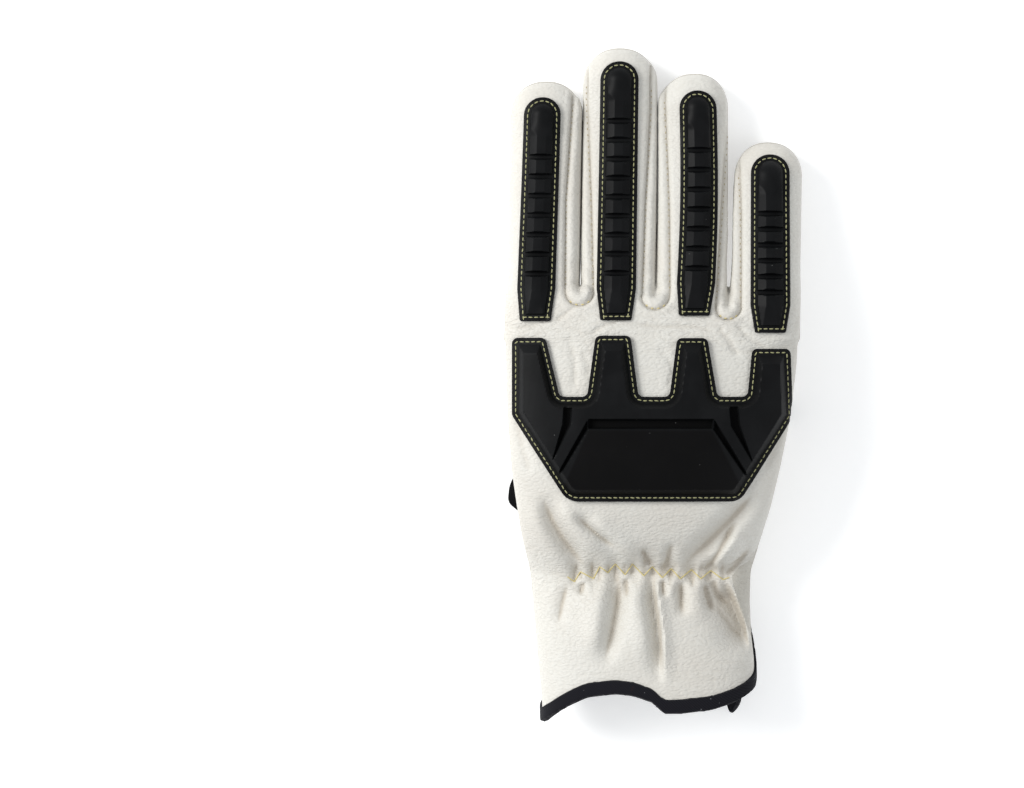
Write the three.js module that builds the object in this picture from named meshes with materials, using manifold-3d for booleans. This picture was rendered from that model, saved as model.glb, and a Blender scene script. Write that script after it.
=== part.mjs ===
// A leather impact glove for the right hand, lying palm down with its thumb folded under the palm.
// Millimetres, +Z up: +Y points to the fingertips, +X to the little finger, the surface is Z = 0.

import * as THREE from 'three';
import { mergeVertices } from 'three/addons/utils/BufferGeometryUtils.js';
import Module from 'manifold-3d';

const wasm = await Module();
wasm.setup();

// Leather
const leatherWall = 1.5;
const seamGap = 0.3;

// Corners closer than this are one corner
const weldGap = 0.02;

// Body of the glove, from the hem to the forks of the fingers
const bodyLength = 160;
const palmWidth = 112;
const palmDepth = 26;
const palmFlat = 0.93;
const bodySquareness = 2.5;
const forkSlope = 0.12;
const forkStart = 0.7;
const sewnReach = 16;

// Fingers
const fingerWidth = 27.7;
const fingerDepth = 20;
const fingerSquareness = 2.4;
const fingerDrop = 64;
const tipPress = 0.8;
const tipSink = 0.45;
const indexLength = 82;
const middleLength = 95;
const ringLength = 86;
const littleLength = 60.5;

// Gathers of the elastic wrist and the flutes below it
const elasticHeight = 56;
const gatherDepth = 1.7;
const gatherPitch = 10.2;
const gatherReach = 13;
const gatherReachAbove = 17;
const foldEdge = 1.6;
const fluteDepth = 1.6;
const flutePitch = 25;

// Hem, side vent and the tape that binds them
const hemRise = 8.8;
const ventHeight = 43;
const ventSpread = 3.2;
const tapeWidth = 5.5;
const tapeThickness = 1;
const tapeClearance = 0.35;

// Folded thumb
const thumbWidth = 32;
const thumbRootWidth = 48;
const thumbDepth = 16;
const thumbClearance = 0.7;
const rootWidth = 21;
const rootProud = 0.5;
const rootDraw = 3;
const rootTop = 0.12;

// Moulded guards
const guardClearance = 0.35;
const guardLip = 1.2;
const guardStep = 6.8;
const heelStep = 3.4;
const guardHeight = 3.6;
const fingerGuardWidth = 15.2;
const indexGuardLength = 86;
const middleGuardLength = 99.5;
const ringGuardLength = 86.5;
const littleGuardLength = 68.5;
const crownLength = 23;
const heelLength = 18;
const littleHeelLength = 15.3;
const blockGroove = 1.1;
const knuckleGuardHeight = 4;
const knuckleClearance = 0.7;
const knuckleLipWidth = 2.4;
const knuckleGrooveWidth = 2.2;
const knuckleGrooveDepth = 1.2;
const thumbGuardWidth = 24.4;
const thumbGuardTipWidth = 19.4;
const thumbGuardLength = 84.7;
const thumbGuardHeight = 3.4;
const thumbGuardBlocks = 9;
const thumbCrownLength = 18.4;
const thumbHeelLength = 9.9;
const thumbChevron = 3;

// The palm lies on the folded thumb, which lies on its guard
const palmLift = thumbGuardHeight + guardClearance + thumbDepth + thumbClearance;
const thumbMiddle = thumbGuardHeight + guardClearance + thumbDepth / 2;
const tapeLift = tapeThickness + tapeClearance;

// Sections of the body. along: share of bodyLength. left and right: shares of half the palm's width.
// under: share of palmLift over the tape's thickness. deep: share of palmDepth.
const bodySections = [
  { along: -0.06, left: 0.755, right: 0.70, under: 0.00, deep: 1.33 },
  { along: 0.20, left: 0.800, right: 0.685, under: 0.00, deep: 1.27 },
  { along: 0.28, left: 0.822, right: 0.665, under: 0.06, deep: 1.15 },
  { along: 0.35, left: 0.833, right: 0.663, under: 0.18, deep: 1.04 },
  { along: 0.42, left: 0.885, right: 0.730, under: 0.42, deep: 1.13 },
  { along: 0.50, left: 0.922, right: 0.80, under: 0.74, deep: 1.12 },
  { along: 0.60, left: 0.962, right: 0.868, under: 1.00, deep: 1.01 },
  { along: 0.72, left: 0.988, right: 0.940, under: 1.00, deep: 0.97 },
  { along: 0.93, left: 1.003, right: 0.985, under: 1.00, deep: 0.88 },
  { along: 0.975, left: 1.003, right: 0.985, under: 1.03, deep: 0.76 },
  { along: 1.00, left: 0.985, right: 0.965, under: 1.20, deep: 0.50 },
];

// Fingers. base and tip: the middle line, as shares of half the palm's width.
const fingers = [
  { name: 'index', length: indexLength, base: -0.756, tip: -0.725 },
  { name: 'middle', length: middleLength, base: -0.232, tip: -0.226 },
  { name: 'ring', length: ringLength, base: 0.268, tip: 0.291 },
  { name: 'little', length: littleLength, base: 0.755, tip: 0.785 },
];

// Fall of the fingers to the surface. share: share of fingerDrop. under: share of palmLift.
const fingerFall = [
  { share: -0.25, under: 1.00 },
  { share: 0.00, under: 0.96 },
  { share: 0.25, under: 0.70 },
  { share: 0.50, under: 0.40 },
  { share: 0.75, under: 0.15 },
  { share: 1.00, under: 0.00 },
];

// Hem. around: share of a turn from the little finger's side over the back. rise: share of hemRise.
const hemCourse = [
  { around: 0.00, rise: 1.10 },
  { around: 0.05, rise: 0.70 },
  { around: 0.10, rise: 0.48 },
  { around: 0.17, rise: 0.35 },
  { around: 0.24, rise: 0.26 },
  { around: 0.27, rise: 0.75 },
  { around: 0.31, rise: 1.00 },
  { around: 0.37, rise: 1.00 },
  { around: 0.43, rise: 0.45 },
  { around: 0.48, rise: 0.05 },
  { around: 0.55, rise: 0.10 },
  { around: 0.70, rise: -0.05 },
  { around: 0.84, rise: 0.10 },
  { around: 0.93, rise: 0.60 },
  { around: 1.00, rise: 1.10 },
];

// Middle line of the thumb. across: share of half the palm's width. along: share of bodyLength.
// wide: 0 at the tip's width, 1 at the root's width.
const thumbCourse = [
  { across: -0.50, along: 0.36, wide: 0.70 },
  { across: -0.54, along: 0.44, wide: 0.95 },
  { across: -0.53, along: 0.54, wide: 0.95 },
  { across: -0.40, along: 0.66, wide: 0.55 },
  { across: -0.20, along: 0.765, wide: 0.20 },
  { across: -0.04, along: 0.845, wide: 0.00 },
];

// Sections of the thumb's root. along: share of bodyLength. scale: share of its full section.
const rootSections = [
  { along: 0.34, scale: 0.35 },
  { along: 0.39, scale: 0.72 },
  { along: 0.46, scale: 0.94 },
  { along: 0.54, scale: 1 },
  { along: 0.62, scale: 0.94 },
  { along: 0.69, scale: 0.74 },
  { along: 0.74, scale: 0.35 },
];

const halfPalm = palmWidth / 2;
const smoothStep = (value) => THREE.MathUtils.smoothstep(value, 0, 1);

// Value of one column of a table at a place between its rows
function between(table, key, column, place) {
  const next = table.findIndex((row) => row[key] > place);
  if (next === 0) return table[0][column];
  if (next < 0) return table[table.length - 1][column];
  const low = table[next - 1];
  const high = table[next];
  return THREE.MathUtils.lerp(low[column], high[column], (place - low[key]) / (high[key] - low[key]));
}

// Height of an oval's edge over its middle line, for a place from -1 to 1 across it
function ovalRise(across, squareness) {
  return (1 - Math.min(1, Math.abs(across)) ** squareness) ** (1 / squareness);
}

// Share of a turn to a place across an oval and the side of it, 1 for the back and -1 for the palm
function turnToOval(around, squareness) {
  const angle = 2 * Math.PI * around;
  const cosine = Math.cos(angle);
  const across = Math.sign(cosine) * Math.abs(cosine) ** (2 / squareness);
  return { across, side: Math.sin(angle) >= 0 ? 1 : -1 };
}

// Depth of the pleats at the elastic and of the flutes below it, on the back. The inside of the
// pleats is even, at the depth of the deepest one.
function foldDepth(x, y, isInside) {
  const fromElastic = y - elasticHeight;
  const reach = fromElastic > 0 ? gatherReachAbove : gatherReach;
  const pleats = gatherDepth * Math.exp(-((fromElastic / reach) ** 2));
  const flutes = fluteDepth * smoothStep(-fromElastic / elasticHeight);
  const pleatWave = isInside ? 1 : 0.5 - 0.5 * Math.cos((2 * Math.PI * x) / gatherPitch);
  const fluteWave = 0.5 - 0.5 * Math.cos((2 * Math.PI * (x - gatherPitch / 2)) / flutePitch);
  return pleats * pleatWave + flutes * fluteWave;
}

// The forks lie nearer the hem towards the little finger
const forkShift = (along, x) => forkSlope * x * smoothStep((along - forkStart) / (1 - forkStart));

function bodyAlong(x, y) {
  let along = y / bodyLength;
  for (let pass = 0; pass < 3; pass += 1) along = (y + forkShift(along, x)) / bodyLength;
  return along;
}

// Height of the body's underside: the tape lies on the surface at the cuff, and the thumb carries the palm
function bodyUnder(along) {
  return THREE.MathUtils.lerp(tapeLift, palmLift, between(bodySections, 'along', 'under', along));
}

// Point of the body's outline, moved inwards by an inset
function bodyPoint(along, across, side, inset) {
  const left = -halfPalm * between(bodySections, 'along', 'left', along) + inset;
  const right = halfPalm * between(bodySections, 'along', 'right', along) - inset;
  const under = bodyUnder(along) + inset;
  const depth = palmDepth * between(bodySections, 'along', 'deep', along) - 2 * inset;
  const x = (left + right) / 2 + (across * (right - left)) / 2;
  const y = along * bodyLength - forkShift(along, x);
  const rise = ovalRise(across, bodySquareness);
  const fold = side > 0 ? foldDepth(x, y, inset > 0) * Math.min(1, rise * foldEdge) : 0;
  const height = side > 0 ? rise : Math.min(rise, palmFlat) / palmFlat;
  return new THREE.Vector3(x, y, under + (depth / 2) * (1 + side * height) - fold);
}

const bodyDepth = (along) => palmDepth * between(bodySections, 'along', 'deep', along);
const bodyMiddle = (along) => bodyUnder(along) + bodyDepth(along) / 2;

// Places round the body: many over the pleated back, few under the palm
function bodyPlaces(backCount, palmCount) {
  const spread = (count, side) => Array.from({ length: count }, (_, step) => {
    const share = (step + 0.5) / count;
    const across = 0.35 * Math.cos(Math.PI * share) + 0.65 * (1 - 2 * share);
    return { across: across * side, side };
  });
  return [...spread(backCount, 1), ...spread(palmCount, -1)];
}

// Height of the fingers' underside over the surface
function fingerUnder(y) {
  const share = (y - bodyLength) / fingerDrop;
  const press = tipPress * THREE.MathUtils.clamp(share, 0, 1);
  return palmLift * between(fingerFall, 'share', 'under', share) - press;
}

function fingerMiddle(finger, y) {
  const share = (y - bodyLength) / finger.length;
  return halfPalm * THREE.MathUtils.lerp(finger.base, finger.tip, share);
}

// Round end of a finger: 1 along it, falling to 0 at its tip
function tipScale(finger, y, inset) {
  const round = fingerWidth / 2 - inset;
  const past = (y - (bodyLength + finger.length - inset - round)) / round;
  return past <= 0 ? 1 : Math.sqrt(Math.max(0, 1 - past * past));
}

function fingerPoint(finger, y, across, side, inset) {
  const scale = tipScale(finger, y, inset);
  const halfWidth = (fingerWidth / 2 - inset) * scale;
  const halfDepth = (fingerDepth / 2 - inset) * scale ** 0.8;
  const middle = fingerUnder(y) + (fingerDepth / 2) * (1 - tipSink * (1 - scale ** 0.8));
  const z = middle + side * halfDepth * ovalRise(across, fingerSquareness);
  return new THREE.Vector3(fingerMiddle(finger, y) + across * halfWidth, y, Math.max(z, inset));
}

// Height of the back of the glove at a place
function backHeight(x, y) {
  const along = bodyAlong(x, y);
  const edges = [bodyPoint(along, -1, 1, 0).x, bodyPoint(along, 1, 1, 0).x];
  const across = (2 * x - edges[0] - edges[1]) / (edges[1] - edges[0]);
  const heights = along < 1 ? [bodyPoint(along, across, 1, 0).z] : [];
  fingers.forEach((finger) => {
    const reach = (x - fingerMiddle(finger, y)) / ((fingerWidth / 2) * tipScale(finger, y, 0));
    if (Math.abs(reach) < 1) heights.push(fingerPoint(finger, y, reach, 1, 0).z);
  });
  return Math.max(...heights);
}

// Closed solid from indexed points, turned right side out
function solidFrom(points, triangles) {
  let volume = 0;
  const across = new THREE.Vector3();
  triangles.forEach(([a, b, c]) => {
    volume += across.crossVectors(points[a], points[b]).dot(points[c]);
  });
  const ordered = volume > 0 ? triangles : triangles.map(([a, b, c]) => [a, c, b]);
  return new wasm.Manifold(new wasm.Mesh({
    numProp: 3,
    vertProperties: Float32Array.from(points.flatMap((point) => point.toArray())),
    triVerts: Uint32Array.from(ordered.flat()),
  }));
}

// Solid through rings of equally many points, with a fan over each end or closed on itself
function loft(rings, closed = false) {
  const count = rings[0].length;
  const points = rings.flat();
  const triangles = [];
  const steps = closed ? rings.length : rings.length - 1;
  for (let ring = 0; ring < steps; ring += 1) {
    const next = ((ring + 1) % rings.length) * count;
    for (let step = 0; step < count; step += 1) {
      const turn = (step + 1) % count;
      triangles.push([ring * count + step, ring * count + turn, next + turn]);
      triangles.push([ring * count + step, next + turn, next + step]);
    }
  }
  if (closed) return solidFrom(points, triangles);
  const sum = (ring) => ring.reduce((total, point) => total.add(point), new THREE.Vector3());
  points.push(sum(rings[0]).divideScalar(count), sum(rings[rings.length - 1]).divideScalar(count));
  const last = (rings.length - 1) * count;
  for (let step = 0; step < count; step += 1) {
    const turn = (step + 1) % count;
    triangles.push([turn, step, points.length - 2]);
    triangles.push([last + step, last + turn, points.length - 1]);
  }
  return solidFrom(points, triangles);
}

// Straight solid over an outline, given in the plane of two axes and drawn out along the third
function prism(outline, axes, from, to) {
  const shape = new THREE.Shape(outline.map(([u, v]) => new THREE.Vector2(u, v)));
  const geometry = new THREE.ExtrudeGeometry(shape, { depth: to - from, bevelEnabled: false });
  geometry.translate(0, 0, from);
  if (axes === 'yz') {
    geometry.applyMatrix4(new THREE.Matrix4().makeBasis(
      new THREE.Vector3(0, 1, 0),
      new THREE.Vector3(0, 0, 1),
      new THREE.Vector3(1, 0, 0),
    ));
  }
  geometry.deleteAttribute('normal');
  geometry.deleteAttribute('uv');
  const merged = mergeVertices(geometry);
  const place = merged.getAttribute('position');
  const pointAt = (_, i) => new THREE.Vector3().fromBufferAttribute(place, i);
  const points = Array.from({ length: place.count }, pointAt);
  const index = Array.from(merged.getIndex().array);
  const triangles = Array.from({ length: index.length / 3 }, (_, i) => index.slice(3 * i, 3 * i + 3));
  return solidFrom(points, triangles);
}

const join = (solids) => solids.reduce((whole, solid) => whole.add(solid));

// The largest body of a cut solid
function mainBody(solid) {
  const bodies = solid.decompose();
  bodies.sort((a, b) => b.volume() - a.volume());
  return bodies[0];
}

// Body, fingers and thumb as closed forms, moved inwards by an inset
function bodyForm(inset, sections = bodySections) {
  const places = inset > 0 ? bodyPlaces(14, 8) : bodyPlaces(26, 10);
  const rings = sections.map(({ along }, row) => {
    const isHem = row === 0;
    const isFork = row === bodySections.length - 1;
    const place = isHem ? along - inset * 0.02 : along - (isFork ? inset / bodyLength : 0);
    return places.map(({ across, side }) => bodyPoint(place, across, side, inset));
  });
  return loft(rings);
}

function fingerForm(finger, inset, sides) {
  const start = bodyLength - sewnReach;
  const end = bodyLength + finger.length - inset;
  const round = fingerWidth / 2 - inset;
  const falls = fingerFall.map(({ share }) => bodyLength + share * fingerDrop);
  const straight = [start, ...falls.filter((y) => y > start + 1 && y < end - round - 1), end - round];
  const curved = [0.5, 0.84, 0.98].map((share) => end - round + round * share);
  const rings = [...straight, ...curved].map((y) => Array.from({ length: sides }, (_, step) => {
    const { across, side } = turnToOval((step + 0.5) / sides, fingerSquareness);
    return fingerPoint(finger, y, across, side, inset);
  }));
  return loft(rings);
}

const thumbLine = new THREE.CatmullRomCurve3(thumbCourse.map(({ across, along }) => (
  new THREE.Vector3(across * halfPalm, along * bodyLength, 0)
)));

function thumbWidthAt(share) {
  const place = share * (thumbCourse.length - 1);
  const row = Math.min(thumbCourse.length - 2, Math.floor(place));
  const wide = THREE.MathUtils.lerp(thumbCourse[row].wide, thumbCourse[row + 1].wide, place - row);
  return THREE.MathUtils.lerp(thumbWidth, thumbRootWidth, wide);
}

// Frame of the thumb at a share of its line: its middle and the direction across it
function thumbFrame(share, beyond) {
  const centre = thumbLine.getPoint(share);
  const ahead = thumbLine.getTangent(share);
  centre.addScaledVector(ahead, beyond);
  return { centre, ahead, sideways: new THREE.Vector3(-ahead.y, ahead.x, 0) };
}

function thumbForm(inset, sides) {
  const ring = (share, beyond, scale) => {
    const { centre, sideways } = thumbFrame(share, beyond);
    const halfWidth = (thumbWidthAt(share) / 2 - inset) * scale;
    const halfDepth = (thumbDepth / 2 - inset) * scale ** 0.6;
    return Array.from({ length: sides }, (_, step) => {
      const { across, side } = turnToOval((step + 0.5) / sides, fingerSquareness);
      const point = centre.clone().addScaledVector(sideways, across * halfWidth);
      point.z = thumbMiddle + side * halfDepth * ovalRise(across, fingerSquareness);
      return point;
    });
  };
  const straight = Array.from({ length: 7 }, (_, i) => ring(i / 6, 0, 1));
  const round = thumbWidth / 2 - inset;
  const tip = [0.4, 0.7, 0.9, 0.985].map((share) => ring(1, round * share, Math.sqrt(1 - share * share)));
  return loft([...straight, ...tip]);
}

// Root of the thumb: the side of the hand that runs down from the back to the folded thumb
function rootForm(inset) {
  const sections = inset > 0 ? rootSections.slice(1, -1) : rootSections;
  const rings = sections.map(({ along, scale }) => {
    const edge = bodyPoint(along, -1, 1, 0).x - rootProud + (1 - scale) * rootDraw;
    const low = thumbMiddle - (thumbDepth / 2) * scale + inset + (1 - scale) * thumbDepth;
    const high = bodyMiddle(along) + palmDepth * rootTop * scale - inset;
    const halfWidth = (rootWidth / 2) * scale - inset;
    const middle = edge + (rootWidth / 2) * scale;
    return Array.from({ length: 8 }, (_, step) => {
      const { across, side } = turnToOval((step + 0.5) / 8, fingerSquareness);
      const z = (low + high) / 2 + (side * (high - low) * ovalRise(across, fingerSquareness)) / 2;
      return new THREE.Vector3(middle + across * halfWidth, along * bodyLength, z);
    });
  });
  return loft(rings);
}

// Height of the hem for a share of a turn, with the vent at the little finger's side, moved a
// distance into the leather
function hemHeight(around, shift) {
  const { across } = turnToOval(around, bodySquareness);
  const fromVent = across > 0 ? (palmDepth / 2) * ovalRise(across, bodySquareness) : palmWidth;
  const vent = ventHeight * Math.exp(-((Math.max(0, fromVent - shift) / ventSpread) ** 0.9));
  return hemRise * between(hemCourse, 'around', 'rise', around) + vent + shift;
}

// Shares of a turn that follow the hem, close together at the vent
function hemTurns() {
  const nearVent = [0, 0.005, 0.018, 0.045, 0.085];
  const rest = Array.from({ length: 12 }, (_, step) => THREE.MathUtils.lerp(0.13, 0.87, step / 11));
  return [...nearVent, ...rest, ...nearVent.slice(1).reverse().map((turn) => 1 - turn)];
}

// What lies below the hem, or below a line at a distance from it, as one ring round the mouth
function belowHem(shift) {
  const centre = new THREE.Vector3(0, 0, bodyMiddle(0));
  return loft(hemTurns().map((around) => {
    const { across, side } = turnToOval(around, bodySquareness);
    const height = hemHeight(around, shift);
    const edge = bodyPoint(height / bodyLength, across, side, 0);
    const place = (share, y) => new THREE.Vector3(
      THREE.MathUtils.lerp(centre.x, edge.x, share),
      y,
      THREE.MathUtils.lerp(centre.z, edge.z, share),
    );
    return [place(0.5, height), place(1.3, height), place(1.3, -bodyLength), place(0.5, -bodyLength)];
  }), true);
}

// Tape folded over the hem, round the mouth and up both sides of the vent
function cuffBinding() {
  const end = (elasticHeight + ventHeight / 2) / bodyLength;
  const cuffSections = bodySections.filter(({ along }) => along < end);
  const form = (inset) => bodyForm(inset, cuffSections);
  const skin = (outside, inside) => form(-outside).subtract(form(inside));
  const covered = skin(tapeClearance, leatherWall + tapeClearance).subtract(belowHem(-tapeClearance));
  const folded = skin(tapeLift, leatherWall + tapeLift).intersect(belowHem(tapeWidth));
  return mainBody(folded.subtract(belowHem(-tapeLift)).subtract(covered));
}

// Rows of a guard with the long stretches between them divided, so that they follow the leather
function splitRows(rows, heelStart) {
  return rows.flatMap((row, step) => {
    const next = rows[step + 1];
    if (!next) return [row];
    const stride = row.at < heelStart ? guardStep : heelStep;
    const parts = Math.max(1, Math.ceil((next.at - row.at) / stride));
    return Array.from({ length: parts }, (_, part) => ({
      at: THREE.MathUtils.lerp(row.at, next.at, part / parts),
      wide: THREE.MathUtils.lerp(row.wide, next.wide, part / parts),
      raise: THREE.MathUtils.lerp(row.raise, next.raise, part / parts),
    }));
  });
}

// Round end of a guard. share: share of the round. raise: share of the height over the lip.
const crownRows = [
  { share: 0.06, raise: 0 },
  { share: 0.30, raise: 0.68 },
  { share: 0.62, raise: 0.83 },
  { share: 1.00, raise: 1 },
];

// Tapered end of a guard. share: share of the heel's length that is left.
const heelRows = [
  { share: 0.45, wide: 0.97, raise: 1 },
  { share: 0.14, wide: 0.90, raise: 0.05 },
  { share: 0.00, wide: 0.86, raise: 0 },
];

// Section of a guard. column: share of its half width. crest: share of the height over the lip.
const guardColumns = [
  { column: -1, crest: 0 },
  { column: -0.76, crest: 0 },
  { column: -0.42, crest: 1 },
  { column: 0.42, crest: 1 },
  { column: 0.76, crest: 0 },
  { column: 1, crest: 0 },
];

// Guard of blocks along a line. placeAt gives the middle, direction and half width at a distance
// from its round end, and seatAt gives a point on the leather with the direction out of it.
function blockGuard({ length, blocks, crown, heel, height, chevron, placeAt, seatAt }) {
  const pitch = (length - crown - heel) / blocks;
  const endRound = placeAt(length / 2).half;
  const rows = crownRows.map(({ share, raise }) => (
    { at: endRound * share * 0.9, wide: Math.sqrt(1 - (1 - share) ** 2), raise }
  ));
  for (let block = 0; block <= blocks; block += 1) {
    const groove = crown + block * pitch;
    rows.push({ at: groove - blockGroove / 2, wide: 1, raise: 1 });
    rows.push({ at: groove, wide: 1, raise: 0 });
    rows.push({ at: groove + blockGroove / 2, wide: 1, raise: 1 });
  }
  heelRows.forEach(({ share, wide, raise }) => rows.push({ at: length - heel * share, wide, raise }));
  return loft(splitRows(rows, length - heel).map(({ at, wide, raise }) => {
    const top = guardColumns.map(({ column, crest }) => (
      { column, rise: guardLip + (height - guardLip) * raise * crest }
    ));
    const bottom = [1, 0.42, -0.42, -1].map((column) => ({ column, rise: 0 }));
    return [...top, ...bottom].map(({ column, rise }) => {
      const fade = Math.min(1, at / crown) * Math.min(1, (length - at) / heel);
      const bent = at - chevron * Math.abs(column) * fade;
      const { centre, sideways, half } = placeAt(Math.max(bent, at * 0.5));
      const spot = centre.clone().addScaledVector(sideways, column * half * wide);
      const { point, outward } = seatAt(spot);
      return point.addScaledVector(outward, guardClearance + rise);
    });
  }));
}

// Finger guards. tip: distance of the round end from the fingertip, as a share of the finger's length.
// blocks: small blocks in a row. base and top: the middle line, as shares of half the palm's width.
const fingerGuards = [
  { tip: 0.060, length: indexGuardLength, blocks: 6, heel: heelLength, base: -0.757, top: -0.722 },
  { tip: 0.042, length: middleGuardLength, blocks: 8, heel: heelLength, base: -0.245, top: -0.223 },
  { tip: 0.073, length: ringGuardLength, blocks: 6, heel: heelLength, base: 0.262, top: 0.300 },
  { tip: 0.086, length: littleGuardLength, blocks: 5, heel: littleHeelLength, base: 0.795, top: 0.802 },
];

function fingerGuard({ tip, length, blocks, heel, base, top }, finger) {
  const end = bodyLength + finger.length * (1 - tip);
  return blockGuard({
    length,
    blocks,
    crown: crownLength,
    heel,
    height: guardHeight,
    chevron: 0,
    placeAt: (at) => ({
      centre: new THREE.Vector3(halfPalm * THREE.MathUtils.lerp(top, base, at / length), end - at, 0),
      sideways: new THREE.Vector3(1, 0, 0),
      half: fingerGuardWidth / 2,
    }),
    seatAt: (spot) => ({
      point: new THREE.Vector3(spot.x, spot.y, backHeight(spot.x, spot.y)),
      outward: new THREE.Vector3(0, 0, 1),
    }),
  });
}

// Underside of the folded thumb, which carries its guard
const thumbGuardStart = new THREE.Vector3(-0.757 * halfPalm, 0.54 * bodyLength, 0);
const thumbGuardHeading = new THREE.Vector3(0.637, 0.771, 0).normalize();

function thumbGuard() {
  const straight = thumbGuardLength - thumbGuardWidth / 2 - thumbGuardTipWidth / 2;
  const tip = thumbGuardStart.clone().addScaledVector(thumbGuardHeading, straight + thumbGuardTipWidth / 2);
  return blockGuard({
    length: thumbGuardLength,
    blocks: thumbGuardBlocks,
    crown: thumbCrownLength,
    heel: thumbHeelLength,
    height: thumbGuardHeight,
    chevron: thumbChevron,
    placeAt: (at) => {
      const share = at / thumbGuardLength;
      const end = Math.max(0, (at - straight - thumbGuardTipWidth / 2) / (thumbGuardWidth / 2));
      const half = THREE.MathUtils.lerp(thumbGuardTipWidth, thumbGuardWidth, share) / 2;
      return {
        centre: tip.clone().addScaledVector(thumbGuardHeading, -at),
        sideways: new THREE.Vector3(-thumbGuardHeading.y, thumbGuardHeading.x, 0),
        half: half * Math.sqrt(Math.max(0.1, 1 - Math.min(1, end) ** 2 * 0.9)),
      };
    },
    seatAt: (spot) => ({
      point: new THREE.Vector3(spot.x, spot.y, thumbMiddle - thumbDepth / 2),
      outward: new THREE.Vector3(0, 0, -1),
    }),
  });
}

// Layer that follows the back of the hand between two heights over the leather
function backLayer(low, high) {
  const shares = [-0.945, -0.90, -0.80, -0.62, -0.33, 0, 0.33, 0.57, 0.75, 0.84, 0.92];
  const columns = shares.map((share) => share * halfPalm);
  const rows = bodySections.map(({ along }) => along).filter((along) => along > 0.4 && along < 0.98);
  const cell = (x, along, lift) => {
    const y = along * bodyLength - forkShift(along, x);
    return new THREE.Vector3(x, y, backHeight(x, y) + knuckleClearance + lift);
  };
  const rings = rows.map((along) => [
    ...columns.map((x) => cell(x, along, high)),
    ...[...columns].reverse().map((x) => cell(x, along, low)),
  ]);
  return loft(rings);
}

// Outline of the knuckle guard. across: share of half the palm's width. along: share of bodyLength.
const knuckleOutline = [
  { across: -0.952, along: 0.892 }, { across: -0.925, along: 0.906 }, { across: -0.722, along: 0.906 },
  { across: -0.695, along: 0.890 }, { across: -0.640, along: 0.770 }, { across: -0.440, along: 0.768 },
  { across: -0.400, along: 0.895 }, { across: -0.370, along: 0.914 }, { across: -0.160, along: 0.914 },
  { across: -0.135, along: 0.898 }, { across: -0.095, along: 0.766 }, { across: 0.110, along: 0.766 },
  { across: 0.148, along: 0.895 }, { across: 0.172, along: 0.906 }, { across: 0.362, along: 0.906 },
  { across: 0.386, along: 0.890 }, { across: 0.430, along: 0.770 }, { across: 0.628, along: 0.770 },
  { across: 0.662, along: 0.868 }, { across: 0.690, along: 0.880 }, { across: 0.905, along: 0.880 },
  { across: 0.925, along: 0.866 }, { across: 0.940, along: 0.720 }, { across: 0.615, along: 0.536 },
  { across: 0.550, along: 0.521 }, { across: -0.505, along: 0.521 }, { across: -0.605, along: 0.540 },
  { across: -0.945, along: 0.724 },
];

const knucklePlateau = [
  { across: -0.43, along: 0.712 }, { across: 0.415, along: 0.712 },
  { across: 0.655, along: 0.578 }, { across: -0.645, along: 0.578 },
];

const planOf = (outline) => outline.map(({ across, along }) => [across * halfPalm, along * bodyLength]);

// Outline moved inwards, for one that runs clockwise seen from above
function insetPlan(plan, distance) {
  const edge = (from, to) => new THREE.Vector2(to[0] - from[0], to[1] - from[1]).normalize();
  return plan.map((point, step) => {
    const before = edge(plan[(step + plan.length - 1) % plan.length], point);
    const after = edge(point, plan[(step + 1) % plan.length]);
    const normal = new THREE.Vector2(before.y + after.y, -before.x - after.x).normalize();
    const spread = distance / Math.max(0.35, normal.x * before.y - normal.y * before.x);
    return [point[0] + normal.x * spread, point[1] + normal.y * spread];
  });
}

function knuckleGuard() {
  const plan = planOf(knuckleOutline);
  const top = palmLift + palmDepth * 2;
  const lip = prism(plan, 'xy', 0, top).intersect(backLayer(0, guardLip));
  const crest = prism(insetPlan(plan, knuckleLipWidth), 'xy', 0, top);
  const body = crest.intersect(backLayer(guardLip / 2, knuckleGuardHeight));
  const plateau = planOf(knucklePlateau);
  const inner = prism(insetPlan(plateau, knuckleGrooveWidth), 'xy', 0, top);
  const frame = prism(plateau, 'xy', 0, top).subtract(inner);
  const depth = knuckleGuardHeight - knuckleGrooveDepth;
  const groove = frame.intersect(backLayer(depth, knuckleGuardHeight * 2));
  return mainBody(lip.add(body).subtract(groove));
}

// Seams. forkWidth: share of a finger's width. forkDeep: share of half a finger's depth. forkBottom,
// frontBottom and rootEnd: shares of bodyLength. rootSeam: share of rootWidth.
const forkWidth = 0.34;
const forkDeep = 0.62;
const forkBottom = 0.955;
const frontBottom = 0.985;
const rootEnd = 0.745;
const rootSeam = 0.93;
const fingersFrom = 0.93;

// Seams of the leather, each a solid that is grown or shrunk by half a gap
const seamRows = [
  ...bodySections.map(({ along }) => along * bodyLength),
  ...fingerFall.slice(2).map(({ share }) => bodyLength + share * fingerDrop),
  bodyLength * 2,
];

function seamHeight(y, share) {
  if (y < bodyLength * fingersFrom) return bodyMiddle(y / bodyLength) + share * (palmDepth / 2);
  return Math.max(0, fingerUnder(y)) + (fingerDepth / 2) * (1 + share);
}

function aboveSeam(grow) {
  const line = seamRows.map((y) => [y, seamHeight(y, 0) - grow]);
  const top = palmLift + palmDepth * 2;
  const first = line[0][0] - palmDepth;
  const last = line[line.length - 1][0];
  return prism([[first, line[0][1]], ...line, [last, top], [first, top]], 'yz', -palmWidth, palmWidth);
}

// Place of the fork on the little finger's side of a finger
const forkPlace = (left) => (
  (fingerMiddle(fingers[left], bodyLength) + fingerMiddle(fingers[left + 1], bodyLength)) / 2
);

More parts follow.
